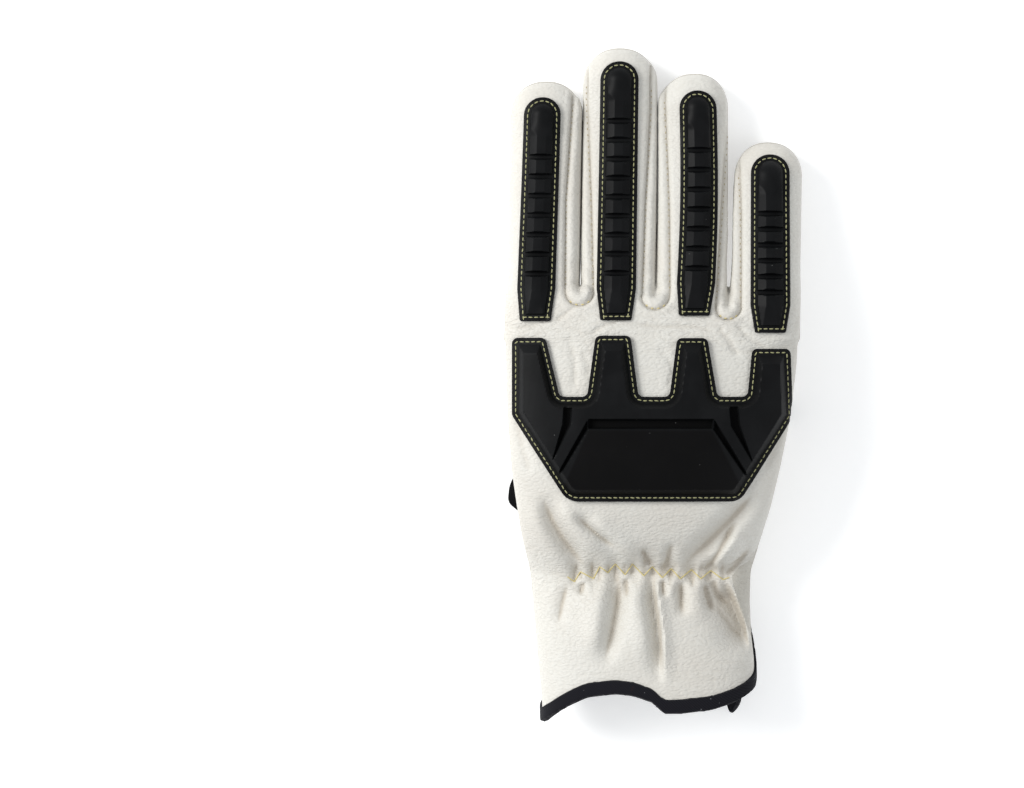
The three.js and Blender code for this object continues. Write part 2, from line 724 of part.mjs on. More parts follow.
function forkRegion(left, grow) {
  const reach = fingerWidth * forkWidth + grow;
  const start = bodyLength * forkBottom - forkShift(1, forkPlace(left)) - grow;
  const rows = [start, ...seamRows.filter((y) => y > start + 1)];
  const low = rows.map((y) => [y, seamHeight(y, -forkDeep) - grow]);
  const high = rows.map((y) => [y, seamHeight(y, forkDeep) + grow]).reverse();
  return prism([...low, ...high], 'yz', forkPlace(left) - reach, forkPlace(left) + reach);
}

function frontRegion(finger, grow) {
  const start = bodyLength * frontBottom - forkShift(1, fingerMiddle(fingers[finger], bodyLength)) - grow;
  const end = bodyLength * 2;
  const high = palmDepth * 2;
  const outline = [[start, -palmLift], [end, -palmLift], [end, high], [start, high]];
  return prism(outline, 'yz', forkPlace(finger - 1) - grow, forkPlace(finger) + grow);
}

// Seam of the thumb piece across the palm, down to the cuff
const thumbSeam = [
  { across: -0.166, along: -0.2 }, { across: -0.166, along: 0.035 }, { across: -0.30, along: 0.17 },
  { across: -0.44, along: 0.31 }, { across: -0.27, along: 0.40 }, { across: -0.15, along: 0.50 },
  { across: -0.10, along: 0.585 },
];

function thumbRegion(grow) {
  const seam = thumbSeam.map(({ across, along }) => [across * halfPalm + grow, along * bodyLength]);
  const first = seam[0][1];
  const last = seam[seam.length - 1][1];
  const outline = [[-palmWidth, first], ...seam, [-palmWidth, last]];
  const strip = prism(outline, 'xy', -palmLift, palmLift + palmDepth);
  const slit = palmLift - thumbClearance / 2 + grow;
  const plate = (from, to, low, high) => [[from, low], [to, low], [to, high], [from, high]];
  const under = prism(plate(-palmWidth, palmWidth, last, bodyLength), 'xy', -palmLift, slit);
  const rootEdge = -halfPalm + rootWidth * rootSeam + grow;
  const rootOutline = plate(-palmWidth, rootEdge, bodyLength * 0.4, bodyLength * rootEnd + grow);
  const side = prism(rootOutline, 'xy', -palmLift, palmLift + palmDepth);
  return join([strip, under, side]);
}

// Leather of the whole glove, hollow and open at the cuff
function leatherShell() {
  const forms = (inset, sides) => join([
    bodyForm(inset),
    ...fingers.map((finger) => fingerForm(finger, inset, sides)),
    thumbForm(inset, sides),
    rootForm(inset),
  ]);
  return forms(0, 10).subtract(forms(leatherWall, 8)).subtract(belowHem(0));
}

const half = seamGap / 2;
const shell = leatherShell();
const back = shell.intersect(aboveSeam(-half));
const front = shell.subtract(aboveSeam(half));
const forkGrown = [0, 1, 2].map((left) => forkRegion(left, half));
const frontGrown = [1, 2].map((finger) => frontRegion(finger, half));
const allForks = join(forkGrown);

const leatherPieces = {
  back_panel: back.subtract(allForks),
  palm_panel: front.subtract(allForks).subtract(join(frontGrown)).subtract(thumbRegion(half)),
  middle_finger_front: front.subtract(allForks).intersect(frontRegion(1, -half)),
  ring_finger_front: front.subtract(allForks).intersect(frontRegion(2, -half)),
  thumb_leather: front.subtract(allForks).subtract(join(frontGrown)).intersect(thumbRegion(-half)),
  fork_index_middle: shell.intersect(forkRegion(0, -half)),
  fork_middle_ring: shell.intersect(forkRegion(1, -half)),
  fork_ring_little: shell.intersect(forkRegion(2, -half)),
};

const group = new THREE.Group();
group.name = 'impact_glove';

// Geometry of a solid, with corners that lie closer than the weld made one
function geometryOf(solid) {
  const { vertProperties, triVerts, numProp } = solid.getMesh();
  const corners = [];
  const places = [];
  for (let i = 0; i < vertProperties.length; i += numProp) {
    const point = new THREE.Vector3().fromArray(vertProperties, i);
    const known = corners.findIndex((corner) => corner.distanceToSquared(point) < weldGap ** 2);
    places.push(known < 0 ? corners.push(point) - 1 : known);
  }
  const index = [];
  for (let i = 0; i < triVerts.length; i += 3) {
    const [a, b, c] = Array.from(triVerts.slice(i, i + 3), (corner) => places[corner]);
    if (a !== b && b !== c && c !== a) index.push(a, b, c);
  }
  const geometry = new THREE.BufferGeometry().setFromPoints(corners);
  geometry.setIndex(index);
  geometry.computeVertexNormals();
  return geometry;
}

function addPiece(name, solid, colour, roughness) {
  const geometry = geometryOf(solid);
  const material = new THREE.MeshStandardMaterial({ color: colour, roughness, metalness: 0 });
  const mesh = new THREE.Mesh(geometry, material);
  mesh.name = name;
  group.add(mesh);
}

const backLeather = 0xe9e7df;
const palmLeather = 0xcdc8bd;
const rubber = 0x1b1b1d;
Object.entries(leatherPieces).forEach(([name, solid]) => {
  addPiece(name, mainBody(solid), name.startsWith('palm') ? palmLeather : backLeather, 0.62);
});
fingerGuards.forEach((guard, step) => {
  addPiece(`${fingers[step].name}_guard`, fingerGuard(guard, fingers[step]), rubber, 0.45);
});
addPiece('knuckle_guard', knuckleGuard(), rubber, 0.45);
addPiece('thumb_guard', thumbGuard(), rubber, 0.45);
addPiece('cuff_binding', cuffBinding(), 0x18181b, 0.85);

// The origin is under the middle of the glove, on the surface
const bounds = new THREE.Box3().setFromObject(group);
const middle = bounds.getCenter(new THREE.Vector3());
group.position.set(-middle.x, -middle.y, -bounds.min.z);

export default group;
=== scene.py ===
"""A right-hand leather impact glove, lying palm down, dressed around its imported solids."""
import math
from functools import partial

import bmesh
import bpy
import numpy as np
from mathutils import Euler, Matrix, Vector
from mathutils.bvhtree import BVHTree


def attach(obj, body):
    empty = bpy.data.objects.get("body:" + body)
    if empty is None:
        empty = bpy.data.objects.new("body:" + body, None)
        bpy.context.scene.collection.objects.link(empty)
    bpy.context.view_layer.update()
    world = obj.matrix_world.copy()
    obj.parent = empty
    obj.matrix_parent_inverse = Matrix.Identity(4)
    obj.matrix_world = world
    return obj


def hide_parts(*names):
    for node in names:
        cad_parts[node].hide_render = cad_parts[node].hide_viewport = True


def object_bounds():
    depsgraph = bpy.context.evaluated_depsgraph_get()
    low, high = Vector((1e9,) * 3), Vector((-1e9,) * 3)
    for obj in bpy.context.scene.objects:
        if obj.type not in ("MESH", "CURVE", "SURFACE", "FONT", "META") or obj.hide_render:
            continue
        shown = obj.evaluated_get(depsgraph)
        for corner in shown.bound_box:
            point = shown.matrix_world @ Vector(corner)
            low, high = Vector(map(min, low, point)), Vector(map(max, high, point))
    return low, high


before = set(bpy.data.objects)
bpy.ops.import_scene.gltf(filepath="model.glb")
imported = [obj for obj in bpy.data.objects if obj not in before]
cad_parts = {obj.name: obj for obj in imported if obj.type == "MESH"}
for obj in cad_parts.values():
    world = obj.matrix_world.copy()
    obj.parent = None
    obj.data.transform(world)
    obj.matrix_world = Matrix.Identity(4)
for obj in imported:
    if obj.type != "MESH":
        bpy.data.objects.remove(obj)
cad_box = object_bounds()

# Millimetres in the glove's own frame: X to the little finger, Y to the fingertips, from the hem
MM = 0.001
GLOVE_ZERO = np.array([-0.4503, -126.6065, 0.0])

# Leather
LEATHER = 1.4
SEAM_WIDTH = 0.8
GRAIN_VOXEL = 0.87

# Body of the glove
BODY_LENGTH = 160.0
HALF_PALM = 56.0
PALM_DEPTH = 26.0
PALM_FLAT = 0.93
BODY_SQUARENESS = 2.5
FORK_SLOPE = 0.12
FORK_START = 0.7
PALM_LIFT = 20.45
TAPE_LIFT = 1.35

# Fingers
FINGER_WIDTH = 27.7
FINGER_DEPTH = 20.0
FINGER_SQUARENESS = 2.4
FINGER_DROP = 64.0
FINGER_SHY = 0.35
TIP_PRESS = 0.8
TIP_SINK = 0.45

# Folded thumb
THUMB_WIDTH = 32.0
THUMB_ROOT_WIDTH = 48.0
THUMB_DEPTH = 16.0
THUMB_MIDDLE = 11.75
THUMB_EASE = 0.07
ROOT_WIDTH = 21.0

# Wrist, hem and tape
ELASTIC_HEIGHT = 56.0
GATHER_PITCH = 7.35
HEM_RISE = 8.8
VENT_HEIGHT = 43.0
VENT_SPREAD = 3.2
VENT_DROP = 7.2
TAPE_WIDTH = 5.5
TAPE_OUT = 0.95

# Moulded guards
MOULD_STEP = 0.42
MOULD_ANGLE = 20
GUARD_LIP = 1.2
GUARD_FOOT = 2.5
GUARD_HEIGHT = 3.5
GUARD_GROOVE = 1.1
BLOCK_SLOPE = 3.6
BLOCK_SHOULDER = 0.55
FACET_SLOPE = 0.5
KNUCKLE_LIFT = 0.35
KNUCKLE_HEIGHT = 4.0

# Thread
STITCH_INSET = 1.5
STITCH_PITCH = 2.15
STITCH_LENGTH = 1.65
STITCH_WIDTH = 0.47
STITCH_LIFT = 0.1
STITCH_PROBE = 0.5
ELASTIC_THREAD = 0.45

# Body. along: share of BODY_LENGTH. left and right: shares of HALF_PALM. under: share of the palm's
# lift. deep: share of PALM_DEPTH.
BODY = np.array([
    (-0.08, 0.750, 0.705, 0.00, 1.33),
    (0.04, 0.757, 0.700, 0.00, 1.33),
    (0.14, 0.786, 0.692, 0.00, 1.30),
    (0.20, 0.800, 0.672, 0.00, 1.27),
    (0.28, 0.822, 0.663, 0.06, 1.15),
    (0.35, 0.838, 0.668, 0.18, 1.04),
    (0.42, 0.885, 0.730, 0.42, 1.13),
    (0.50, 0.922, 0.800, 0.74, 1.12),
    (0.60, 0.962, 0.868, 1.00, 1.01),
    (0.72, 0.988, 0.938, 1.00, 0.97),
    (0.86, 1.003, 0.978, 1.00, 0.92),
    (0.93, 1.006, 0.985, 1.00, 0.88),
    (0.975, 1.003, 0.985, 1.03, 0.76),
    (1.00, 0.985, 0.965, 1.20, 0.50),
])

# Fingers. length, middle line at the base and the tip as shares of HALF_PALM, and a sideways bow.
FINGERS = {
    "index": (84.0, -0.758, -0.732, 0.0),
    "middle": (96.8, -0.232, -0.226, 0.0),
    "ring": (87.0, 0.268, 0.291, 0.6),
    "little": (60.5, 0.760, 0.789, 0.0),
}
# How much narrower the two fingers with an open gap between them are on their left and right sides
OPEN_SIDES = {"ring": (0.0, 0.95), "little": (0.95, 0.0)}
FALL_SHARES = (-0.25, 0.0, 0.25, 0.5, 0.75, 1.0)
FALL_UNDER = (1.0, 0.96, 0.70, 0.40, 0.15, 0.0)

# Hem: rise as shares of HEM_RISE, for shares of a turn from the little finger's side over the back
HEM_TURNS = (0, .043, .072, .123, .166, .209, .234, .239, .247, .262, .285, .331, .395, .422, .453,
             .485, .55, .60, .74, .80, .848, .870, .880, .908, .93, .955, 1)
HEM_RISES = (1.40, 1.25, 1.10, .78, .53, .42, .38, .42, .92, 1.16, 1.25, 1.10, .50, .26, .08,
             -.05, .40, 1.28, 1.25, .75, .78, .50, -.60, -.60, .40, 1.00, 1.40)

# Thumb's middle line: across and along as shares of HALF_PALM and BODY_LENGTH, and its widening
THUMB = np.array([
    (-0.46, 0.30, 0.20),
    (-0.50, 0.38, 0.40),
    (-0.53, 0.46, 0.68),
    (-0.53, 0.54, 0.86),
    (-0.40, 0.66, 0.55),
    (-0.20, 0.765, 0.20),
    (-0.04, 0.845, 0.00),
])

# Root of the thumb: along and scale of its sections
THUMB_ROOT = ((.34, .35), (.39, .72), (.46, .94), (.54, 1.0), (.62, .94), (.69, .74), (.74, .35))

# Seam of the thumb over the palm: along and across
THUMB_SEAM_ALONG = (-0.2, 0.035, 0.17, 0.31, 0.40, 0.50, 0.585)
THUMB_SEAM_ACROSS = (-0.166, -0.166, -0.30, -0.44, -0.27, -0.15, -0.10)

# Seam beside the flap at the little finger's side of the cuff: places along the glove, and its climb
FLAP_ALONG = (26.0, 30.0, 34.0, 41.0, 54.0, 58.0, 66.0)
FLAP_RISE = (0.0, 2.0, 6.0, 8.6, 9.4, 8.0, 0.0)

# Strips between the fingers: the two fingers, bottom of the web, reach of the roll on the left and
# the right of the gap at the web, half way and near the tips, and half the gap that is left
FORKS = {
    "fork_index_middle": ("index", "middle", 157.4, (5.3, 5.6, 3.6), (5.2, 3.6, 1.4), 0.03),
    "fork_middle_ring": ("middle", "ring", 156.0, (4.9, 4.2, 2.4), (5.4, 4.4, 2.6), 0.03),
    "fork_ring_little": ("ring", "little", 152.2, (4.8, 3.2, 1.2), (4.6, 3.6, 1.4), 1.15),
}
FORK_HALF_WAY = 40.0
FORK_NEAR_TIP = 78.0


# Camera, light and floor

IMAGE_WIDTH, IMAGE_HEIGHT = 1024, 788
FRAME_WIDTH = 389.7
CAMERA_HEIGHT = 2000.0
BACK_LEVEL = 30.0
SENSOR = 36.0
GLOVE_PIXEL = (654.0, 386.2)
FLOOR_SIZE = 6
FLOOR_LEVEL = -0.0002
WORLD_COLOUR = (0.97, 0.985, 1.0, 1)
WORLD_STRENGTH = 0.63

# Soft square lights: place and size in metres, power in watts, and colour
LIGHTS = {
    "key_light": ((-1.2, 0.5, 1.0), 0.85, 23, (1.0, 0.99, 0.97)),
    "fill_light": ((1.2, -0.6, 1.5), 1.3, 5, (0.95, 0.98, 1.0)),
}


def set_up_view():
    """Camera straight above the glove, with the glove as far right in the frame as in the photograph."""
    camera = bpy.data.objects.new("camera", bpy.data.cameras.new("camera"))
    bpy.context.scene.collection.objects.link(camera)
    camera.data.sensor_width = SENSOR
    camera.data.lens = SENSOR * (CAMERA_HEIGHT - BACK_LEVEL) / FRAME_WIDTH
    camera.data.clip_end = 20
    middle = (cad_box[0] + cad_box[1]) / 2
    camera.location = (middle.x, middle.y, CAMERA_HEIGHT * MM)
    camera.data.shift_x = (IMAGE_WIDTH / 2 - GLOVE_PIXEL[0]) / IMAGE_WIDTH
    camera.data.shift_y = (GLOVE_PIXEL[1] - IMAGE_HEIGHT / 2) / IMAGE_WIDTH
    bpy.context.scene.camera = camera
    bpy.context.scene.view_settings.view_transform = "Standard"


def set_up_studio():
    """Pale floor under soft light that comes mostly from the upper left."""
    for name, (place, size, power, colour) in LIGHTS.items():
        light = bpy.data.objects.new(name, bpy.data.lights.new(name, "AREA"))
        bpy.context.scene.collection.objects.link(light)
        light.data.size = size
        light.data.energy = power
        light.data.color = colour
        light.location = place
        light.rotation_euler = (-Vector(place)).to_track_quat("-Z", "Y").to_euler()
    world = bpy.data.worlds.new("studio")
    bpy.context.scene.world = world
    world.use_nodes = True
    sky = world.node_tree.nodes["Background"]
    sky.inputs["Color"].default_value = WORLD_COLOUR
    sky.inputs["Strength"].default_value = WORLD_STRENGTH
    deselect()
    bpy.ops.mesh.primitive_plane_add(size=FLOOR_SIZE, location=(0, 0, FLOOR_LEVEL))
    floor = bpy.context.object
    floor.name = "floor"
    bpy.ops.object.transform_apply(location=True, rotation=True, scale=True)
    floor.data.materials.append(floor_paint())


def deselect():
    bpy.ops.object.select_all(action="DESELECT")


# Materials


class Value:
    """A shader number. Python arithmetic on it adds Math nodes."""

    def __init__(self, finish, socket):
        self.finish = finish
        self.socket = socket

    def maths(self, operation, *others):
        inputs = [self, *others]
        node = self.finish.node("ShaderNodeMath", {"operation": operation}, dict(enumerate(inputs)))
        return Value(self.finish, node.outputs[0])

    def reflected(self, operation, other):
        node = self.finish.node("ShaderNodeMath", {"operation": operation}, {0: other, 1: self})
        return Value(self.finish, node.outputs[0])

    def __add__(self, other):
        return self.maths("ADD", other)

    def __radd__(self, other):
        return self.reflected("ADD", other)

    def __sub__(self, other):
        return self.maths("SUBTRACT", other)

    def __rsub__(self, other):
        return self.reflected("SUBTRACT", other)

    def __mul__(self, other):
        return self.maths("MULTIPLY", other)

    def __rmul__(self, other):
        return self.reflected("MULTIPLY", other)

    def above(self, low, high):
        """0 below low, 1 above high, smooth between."""
        node = self.finish.node(
            "ShaderNodeMapRange",
            {"interpolation_type": "SMOOTHSTEP"},
            {"Value": self, "From Min": low, "From Max": high, "To Min": 0.0, "To Max": 1.0},
        )
        return Value(self.finish, node.outputs["Result"])


class Finish:
    """A material built from nodes around one Principled shader."""

    def __init__(self, name, colour, roughness, **constants):
        self.material = bpy.data.materials.new(name)
        self.material.use_nodes = True
        self.tree = self.material.node_tree
        self.shader = self.tree.nodes["Principled BSDF"]
        self.shader.inputs["Base Color"].default_value = (*colour, 1)
        self.shader.inputs["Roughness"].default_value = roughness
        for socket, value in constants.items():
            self.shader.inputs[socket.replace("_", " ")].default_value = value
        self.place = self.node("ShaderNodeTexCoord").outputs["Object"]

    def node(self, kind, settings=None, inputs=None):
        """Adds a node: first its settings, then the values or links of its sockets."""
        node = self.tree.nodes.new(kind)
        for setting, value in (settings or {}).items():
            setattr(node, setting, value)
        for socket, value in (inputs or {}).items():
            if isinstance(value, Value):
                value = value.socket
            if isinstance(value, bpy.types.NodeSocket):
                self.tree.links.new(value, node.inputs[socket])
            else:
                node.inputs[socket].default_value = value
        return node

    def stretched(self, scale, turn=0.0):
        """The object's place, scaled and turned about Z."""
        settings = {"Vector": self.place, "Scale": scale, "Rotation": Euler((0, 0, turn))}
        return self.node("ShaderNodeMapping", {"vector_type": "TEXTURE"}, settings).outputs[0]

    def noise(self, size, detail=2.0, place=None, warp=0.0):
        """Cloudy noise whose lumps are about a size, in millimetres."""
        inputs = {"Vector": place or self.place, "Scale": 1 / (size * MM), "Detail": detail,
                  "Distortion": warp}
        return Value(self, self.node("ShaderNodeTexNoise", {}, inputs).outputs["Fac"])

    def cells(self, size, feature="F1", place=None, smooth=None):
        """Distance from the middles of scattered cells of a size, in millimetres."""
        inputs = {"Vector": place or self.place, "Scale": 1 / (size * MM)}
        if smooth is not None:
            inputs["Smoothness"] = smooth
        cells = self.node("ShaderNodeTexVoronoi", {"feature": feature}, inputs)
        return Value(self, cells.outputs["Distance"])

    def bands(self, size, warp, detail=2.0):
        """Slanted bands of a size, in millimetres."""
        settings = {"wave_type": "BANDS", "bands_direction": "DIAGONAL"}
        inputs = {"Vector": self.place, "Scale": 1 / (size * MM), "Distortion": warp, "Detail": detail}
        return Value(self, self.node("ShaderNodeTexWave", settings, inputs).outputs["Fac"])

    def attribute(self, name):
        node = self.node("ShaderNodeAttribute", {"attribute_name": name})
        return Value(self, node.outputs["Fac"])

    def mix(self, share, low, high):
        """Colour between two colours."""
        inputs = {"Factor": share, 6: (*low, 1) if isinstance(low, tuple) else low,
                  7: (*high, 1) if isinstance(high, tuple) else high}
        return self.node("ShaderNodeMix", {"data_type": "RGBA"}, inputs).outputs[2]

    def paint(self, colour=None, roughness=None):
        if colour is not None:
            self.tree.links.new(colour, self.shader.inputs["Base Color"])
        if roughness is not None:
            self.tree.links.new(roughness.socket, self.shader.inputs["Roughness"])

    def relief(self, *layers):
        """Bump of several heights, each with its depth in millimetres."""
        normal = None
        for height, depth in layers:
            inputs = {"Height": height, "Distance": depth * MM, "Strength": 1.0}
            if normal is not None:
                inputs["Normal"] = normal
            normal = self.node("ShaderNodeBump", {}, inputs).outputs[0]
        self.tree.links.new(normal, self.shader.inputs["Normal"])


def leather(name, light, warm, shade):
    """Grained leather: small pebbles and fine creases where the hand bends, with painted shade in brown where
    the fold_shade attribute is high: in fold valleys, along crease lines and in sunk seams.
    """
    finish = Finish(name, light, 0.5, Specular_IOR_Level=0.3)
    wide = finish.stretched((1.5, 0.85, 1.1))
    pebbles = finish.cells(0.95, "SMOOTH_F1", wide, 0.6)
    small = finish.cells(0.5, "SMOOTH_F1", None, 0.8)
    fine = finish.noise(0.5, 2.0)
    cloud = finish.noise(30, 3.0)
    blotch = finish.noise(6, 4.0)
    crease = finish.noise(3.2, 3.0, finish.stretched((1.9, 0.7, 1.0), 0.12), 0.4)
    creases = (crease - 0.5).maths("ABSOLUTE").above(0.0, 0.10)
    worn = finish.attribute("wrinkle")
    fold_shade = finish.attribute("fold_shade")
    pits = pebbles.above(0.25, 0.8)
    tone = finish.mix(cloud.above(0.35, 0.7), light, warm)
    # Painted shade: brown mixed in along the fold valleys, crease lines and sunk seams; the blotches are
    # random tone of the leather
    tone = finish.mix(fold_shade.above(0.1, 1.0) * 0.6 + blotch.above(0.55, 0.8) * 0.06, tone, shade)
    tone = finish.mix(pits * 0.09 + (1 - creases) * worn * 0.10, tone, shade)
    finish.paint(tone, 0.46 + fine * 0.08 + pits * 0.08)
    finish.relief((1 - pits, 0.12), (1 - small, 0.05), (creases * worn, 0.10), (blotch, 0.12))
    return finish.material


def moulded_rubber():
    """Black satin rubber with faint mottling, a few specks of dust, and painted shade on the knuckle guard's
    plateau and in its sunk channels.
    """
    finish = Finish("moulded_rubber", (0.006, 0.0062, 0.0068), 0.42, Specular_IOR_Level=0.09)
    mottle = finish.noise(11, 4.0)
    fine = finish.noise(0.4, 2.0)
    speck = 1 - finish.cells(6.5).above(0.016, 0.026)
    plateau_shade = finish.attribute("plateau_shade")
    channel = finish.attribute("channel")
    tone = finish.mix(mottle.above(0.3, 0.75), (0.0036, 0.0039, 0.0044), (0.0064, 0.0068, 0.0075))
    # Painted shade: the plateau and the sunk channels are darkened
    tone = finish.mix(plateau_shade * 0.85, tone, (0.0012, 0.0010, 0.0011))
    tone = finish.mix(channel * 0.9, tone, (0.0008, 0.0008, 0.0009))
    tone = finish.mix(speck * 0.45, tone, (0.30, 0.30, 0.29))
    finish.paint(tone, 0.36 + mottle * 0.12 + fine * 0.05 + channel * 0.4)
    finish.relief((fine, 0.015), (mottle, 0.10))
    return finish.material


def binding_tape():
    """Black woven tape with a fine twill rib and caught lint."""
    finish = Finish("binding_tape", (0.006, 0.006, 0.008), 0.82,
                    Sheen_Weight=0.06, Specular_IOR_Level=0.12)
    across = finish.bands(1.6, 0.6, 1.0)
    fuzz = finish.noise(0.3, 3.0)
    lint = 1 - finish.cells(2.6, "F1", finish.stretched((1.0, 1.7, 1.0), 0.7)).above(0.03, 0.06)
    rusty = finish.noise(5, 2.0).above(0.62, 0.75)
    tone = finish.mix(across * 0.5 + fuzz * 0.3, (0.003, 0.003, 0.005), (0.013, 0.013, 0.018))
    tone = finish.mix(rusty * 0.2, tone, (0.04, 0.014, 0.014))
    tone = finish.mix(lint * 0.6, tone, (0.42, 0.42, 0.45))
    finish.paint(tone, 0.75 + fuzz * 0.15)
    finish.relief((across, 0.07), (fuzz, 0.06))
    return finish.material


def thread(name, light, dark):
    """Twisted sewing thread."""
    finish = Finish(name, light, 0.62, Sheen_Weight=0.2, Specular_IOR_Level=0.35)
    twist = finish.bands(0.9, 0.3)
    fuzz = finish.noise(0.5, 2.0)
    finish.paint(finish.mix(twist * 0.6 + fuzz * 0.4, dark, light), 0.55 + fuzz * 0.2)
    finish.relief((twist, 0.06))
    return finish.material


def floor_paint():
    """White sweep, lit a little from below."""
    finish = Finish("floor_paint", (0.95, 0.95, 0.95), 0.75, Specular_IOR_Level=0.15,
                    Emission_Color=(0.985, 0.99, 1.0, 1), Emission_Strength=0.32)
    cloud = finish.noise(220, 2.0)
    finish.paint(finish.mix(cloud, (0.93, 0.935, 0.94), (0.95, 0.955, 0.96)))
    return finish.material


# Forms of the leather, as shapes of their sections


def eased(stops, values, width):
    """A table as a smooth curve."""
    low, high = stops[0] - 4 * width, stops[-1] + 4 * width
    places = np.linspace(low, high, 2400)
    step = places[1] - places[0]
    reach = np.arange(-int(3 * width / step), int(3 * width / step) + 1) * step
    weights = np.exp(-((reach / width) ** 2))
    raw = np.interp(places, stops, values)
    padded = np.pad(raw, len(reach) // 2, mode="edge")
    smooth = np.convolve(padded, weights / weights.sum(), mode="valid")
    return lambda place: np.interp(place, places, smooth)


def step_up(value):
    share = np.clip(value, 0, 1)
    return share * share * (3 - 2 * share)


def bell(value, width):
    """1 at zero, falling softly to 0 past a width."""
    return np.exp(-((value / width) ** 2))


def unit(vectors):
    return vectors / np.linalg.norm(vectors, axis=-1, keepdims=True)


def section(count, squareness):
    """Places round a squarish oval, as shares of its half width and half depth."""
    turn = np.linspace(0, 2 * math.pi, count, endpoint=False)
    across = np.sign(np.cos(turn)) * np.abs(np.cos(turn)) ** (2 / squareness)
    rise = (1 - np.minimum(1, np.abs(across)) ** squareness) ** (1 / squareness)
    return across, np.sign(np.sin(turn)) * rise


body_left = eased(BODY[:, 0], BODY[:, 1] * -HALF_PALM, 0.02)
body_right = eased(BODY[:, 0], BODY[:, 2] * HALF_PALM, 0.012)
body_share = eased(BODY[:, 0], BODY[:, 3], 0.025)
body_deep = eased(BODY[:, 0], BODY[:, 4] * PALM_DEPTH, 0.02)
finger_share = eased(FALL_SHARES, FALL_UNDER, 0.08)
hem_share = eased(HEM_TURNS, HEM_RISES, 0.006)
thumb_seam = eased(THUMB_SEAM_ALONG, np.array(THUMB_SEAM_ACROSS) * HALF_PALM, 0.03)
thumb_rows = np.linspace(0, 1, len(THUMB))
thumb_line = [
    eased(thumb_rows, THUMB[:, 0] * HALF_PALM, THUMB_EASE),
    eased(thumb_rows, THUMB[:, 1] * BODY_LENGTH, THUMB_EASE),
]
thumb_wide = eased(thumb_rows, THUMB[:, 2], THUMB_EASE)


def fork_shift(along, x):
    return FORK_SLOPE * x * step_up((along - FORK_START) / (1 - FORK_START))


def body_under(along):
    return TAPE_LIFT + (PALM_LIFT - TAPE_LIFT) * body_share(along)


def body_middle(along):
    return body_under(along) + body_deep(along) / 2


def finger_under(y):
    share = (y - BODY_LENGTH) / FINGER_DROP
    return PALM_LIFT * finger_share(share) - TIP_PRESS * np.clip(share, 0, 1)


def finger_line(name, y):
    length, base, tip, bow = FINGERS[name]
    share = (y - BODY_LENGTH) / length
    return HALF_PALM * (base + (tip - base) * share) + bow * np.sin(math.pi * np.clip(share, 0, 1))


def body_rings():
    """Rings of the body from below the hem to the forks."""
    across, rise = section(160, BODY_SQUARENESS)
    height = np.where(rise > 0, rise, np.maximum(rise, -PALM_FLAT) / PALM_FLAT)
    rings = []
    for along in np.linspace(-0.07, 1.0, 130):
        left, right = body_left(along), body_right(along)
        x = (left + right) / 2 + across * (right - left) / 2
        z = body_under(along) + body_deep(along) / 2 * (1 + height)
        rings.append(np.stack([x, along * BODY_LENGTH - fork_shift(along, x), z], 1))
    return rings


def finger_rings(name):
    """Rings of a finger from inside the body to its round tip."""
    length = FINGERS[name][0]
    across, rise = section(72, FINGER_SQUARENESS)
    round_end = FINGER_WIDTH / 2
    start = BODY_LENGTH - 16
    narrow = np.where(across < 0, *OPEN_SIDES.get(name, (0.0, 0.0)))
    straight = np.linspace(start, BODY_LENGTH + length - round_end, 64)
    curved = BODY_LENGTH + length - round_end + round_end * np.sin(np.linspace(0.04, 1.53, 26))
    rings = []
    for y in np.concatenate([straight, curved]):
        past = max(0.0, (y - (BODY_LENGTH + length - round_end)) / round_end)
        scale = max(0.0, 1 - past ** 2.15) ** (1 / 2.15)
        shy = FINGER_SHY * step_up((y - BODY_LENGTH) / 12)
        shy = shy + narrow * step_up((y - BODY_LENGTH + 2) / 8)
        half = (FINGER_WIDTH / 2 - shy) * scale
        deep = FINGER_DEPTH / 2 * scale ** 0.8
        middle = finger_under(y) + FINGER_DEPTH / 2 * (1 - TIP_SINK * (1 - scale ** 0.8))
        z = np.maximum(middle + rise * deep, 0)
        rings.append(np.stack([finger_line(name, y) + across * half, np.full_like(z, y), z], 1))
    return rings


def thumb_place(share):
    """Middle of the thumb, its heading and its width, at a share of its line."""
    centre = np.array([curve(share) for curve in thumb_line])
    ahead = [curve(min(share + 0.01, 1)) - curve(max(share - 0.01, 0)) for curve in thumb_line]
    width = THUMB_WIDTH + (THUMB_ROOT_WIDTH - THUMB_WIDTH) * thumb_wide(share)
    return centre, unit(np.array(ahead)), width


def thumb_rings():
    across, rise = section(72, FINGER_SQUARENESS)
    rings = []
    tip = [(1.0, math.sin(angle)) for angle in np.linspace(0.06, 1.53, 24)]
    for share, past in [(share, 0.0) for share in np.linspace(0, 1, 60)] + tip:
        centre, ahead, width = thumb_place(share)
        scale = math.sqrt(1 - past * past)
        centre = centre + ahead * past * THUMB_WIDTH / 2
        plan = centre + np.outer(across * width / 2 * scale, (-ahead[1], ahead[0]))
        z = THUMB_MIDDLE + rise * THUMB_DEPTH / 2 * scale ** 0.6
        rings.append(np.column_stack([plan, z]))
    return rings


def root_rings():
    """Side of the hand that runs down from the back to the folded thumb."""
    stops = [along for along, _ in THUMB_ROOT]
    size = eased(stops, [scale for _, scale in THUMB_ROOT], 0.02)
    across, rise = section(60, FINGER_SQUARENESS)
    rings = []
    for along in np.linspace(stops[0], stops[-1], 50):
        scale = float(size(along))
        edge = body_left(along) - 0.2 + (1 - scale) * 3
        low = THUMB_MIDDLE - THUMB_DEPTH / 2 * scale + (1 - scale) * THUMB_DEPTH
        high = body_middle(along) + PALM_DEPTH * 0.12 * scale
        x = edge + ROOT_WIDTH / 2 * scale * (1 + across)
        z = (low + high) / 2 + rise * (high - low) / 2
        rings.append(np.stack([x, np.full_like(x, along * BODY_LENGTH), z], 1))
    return rings


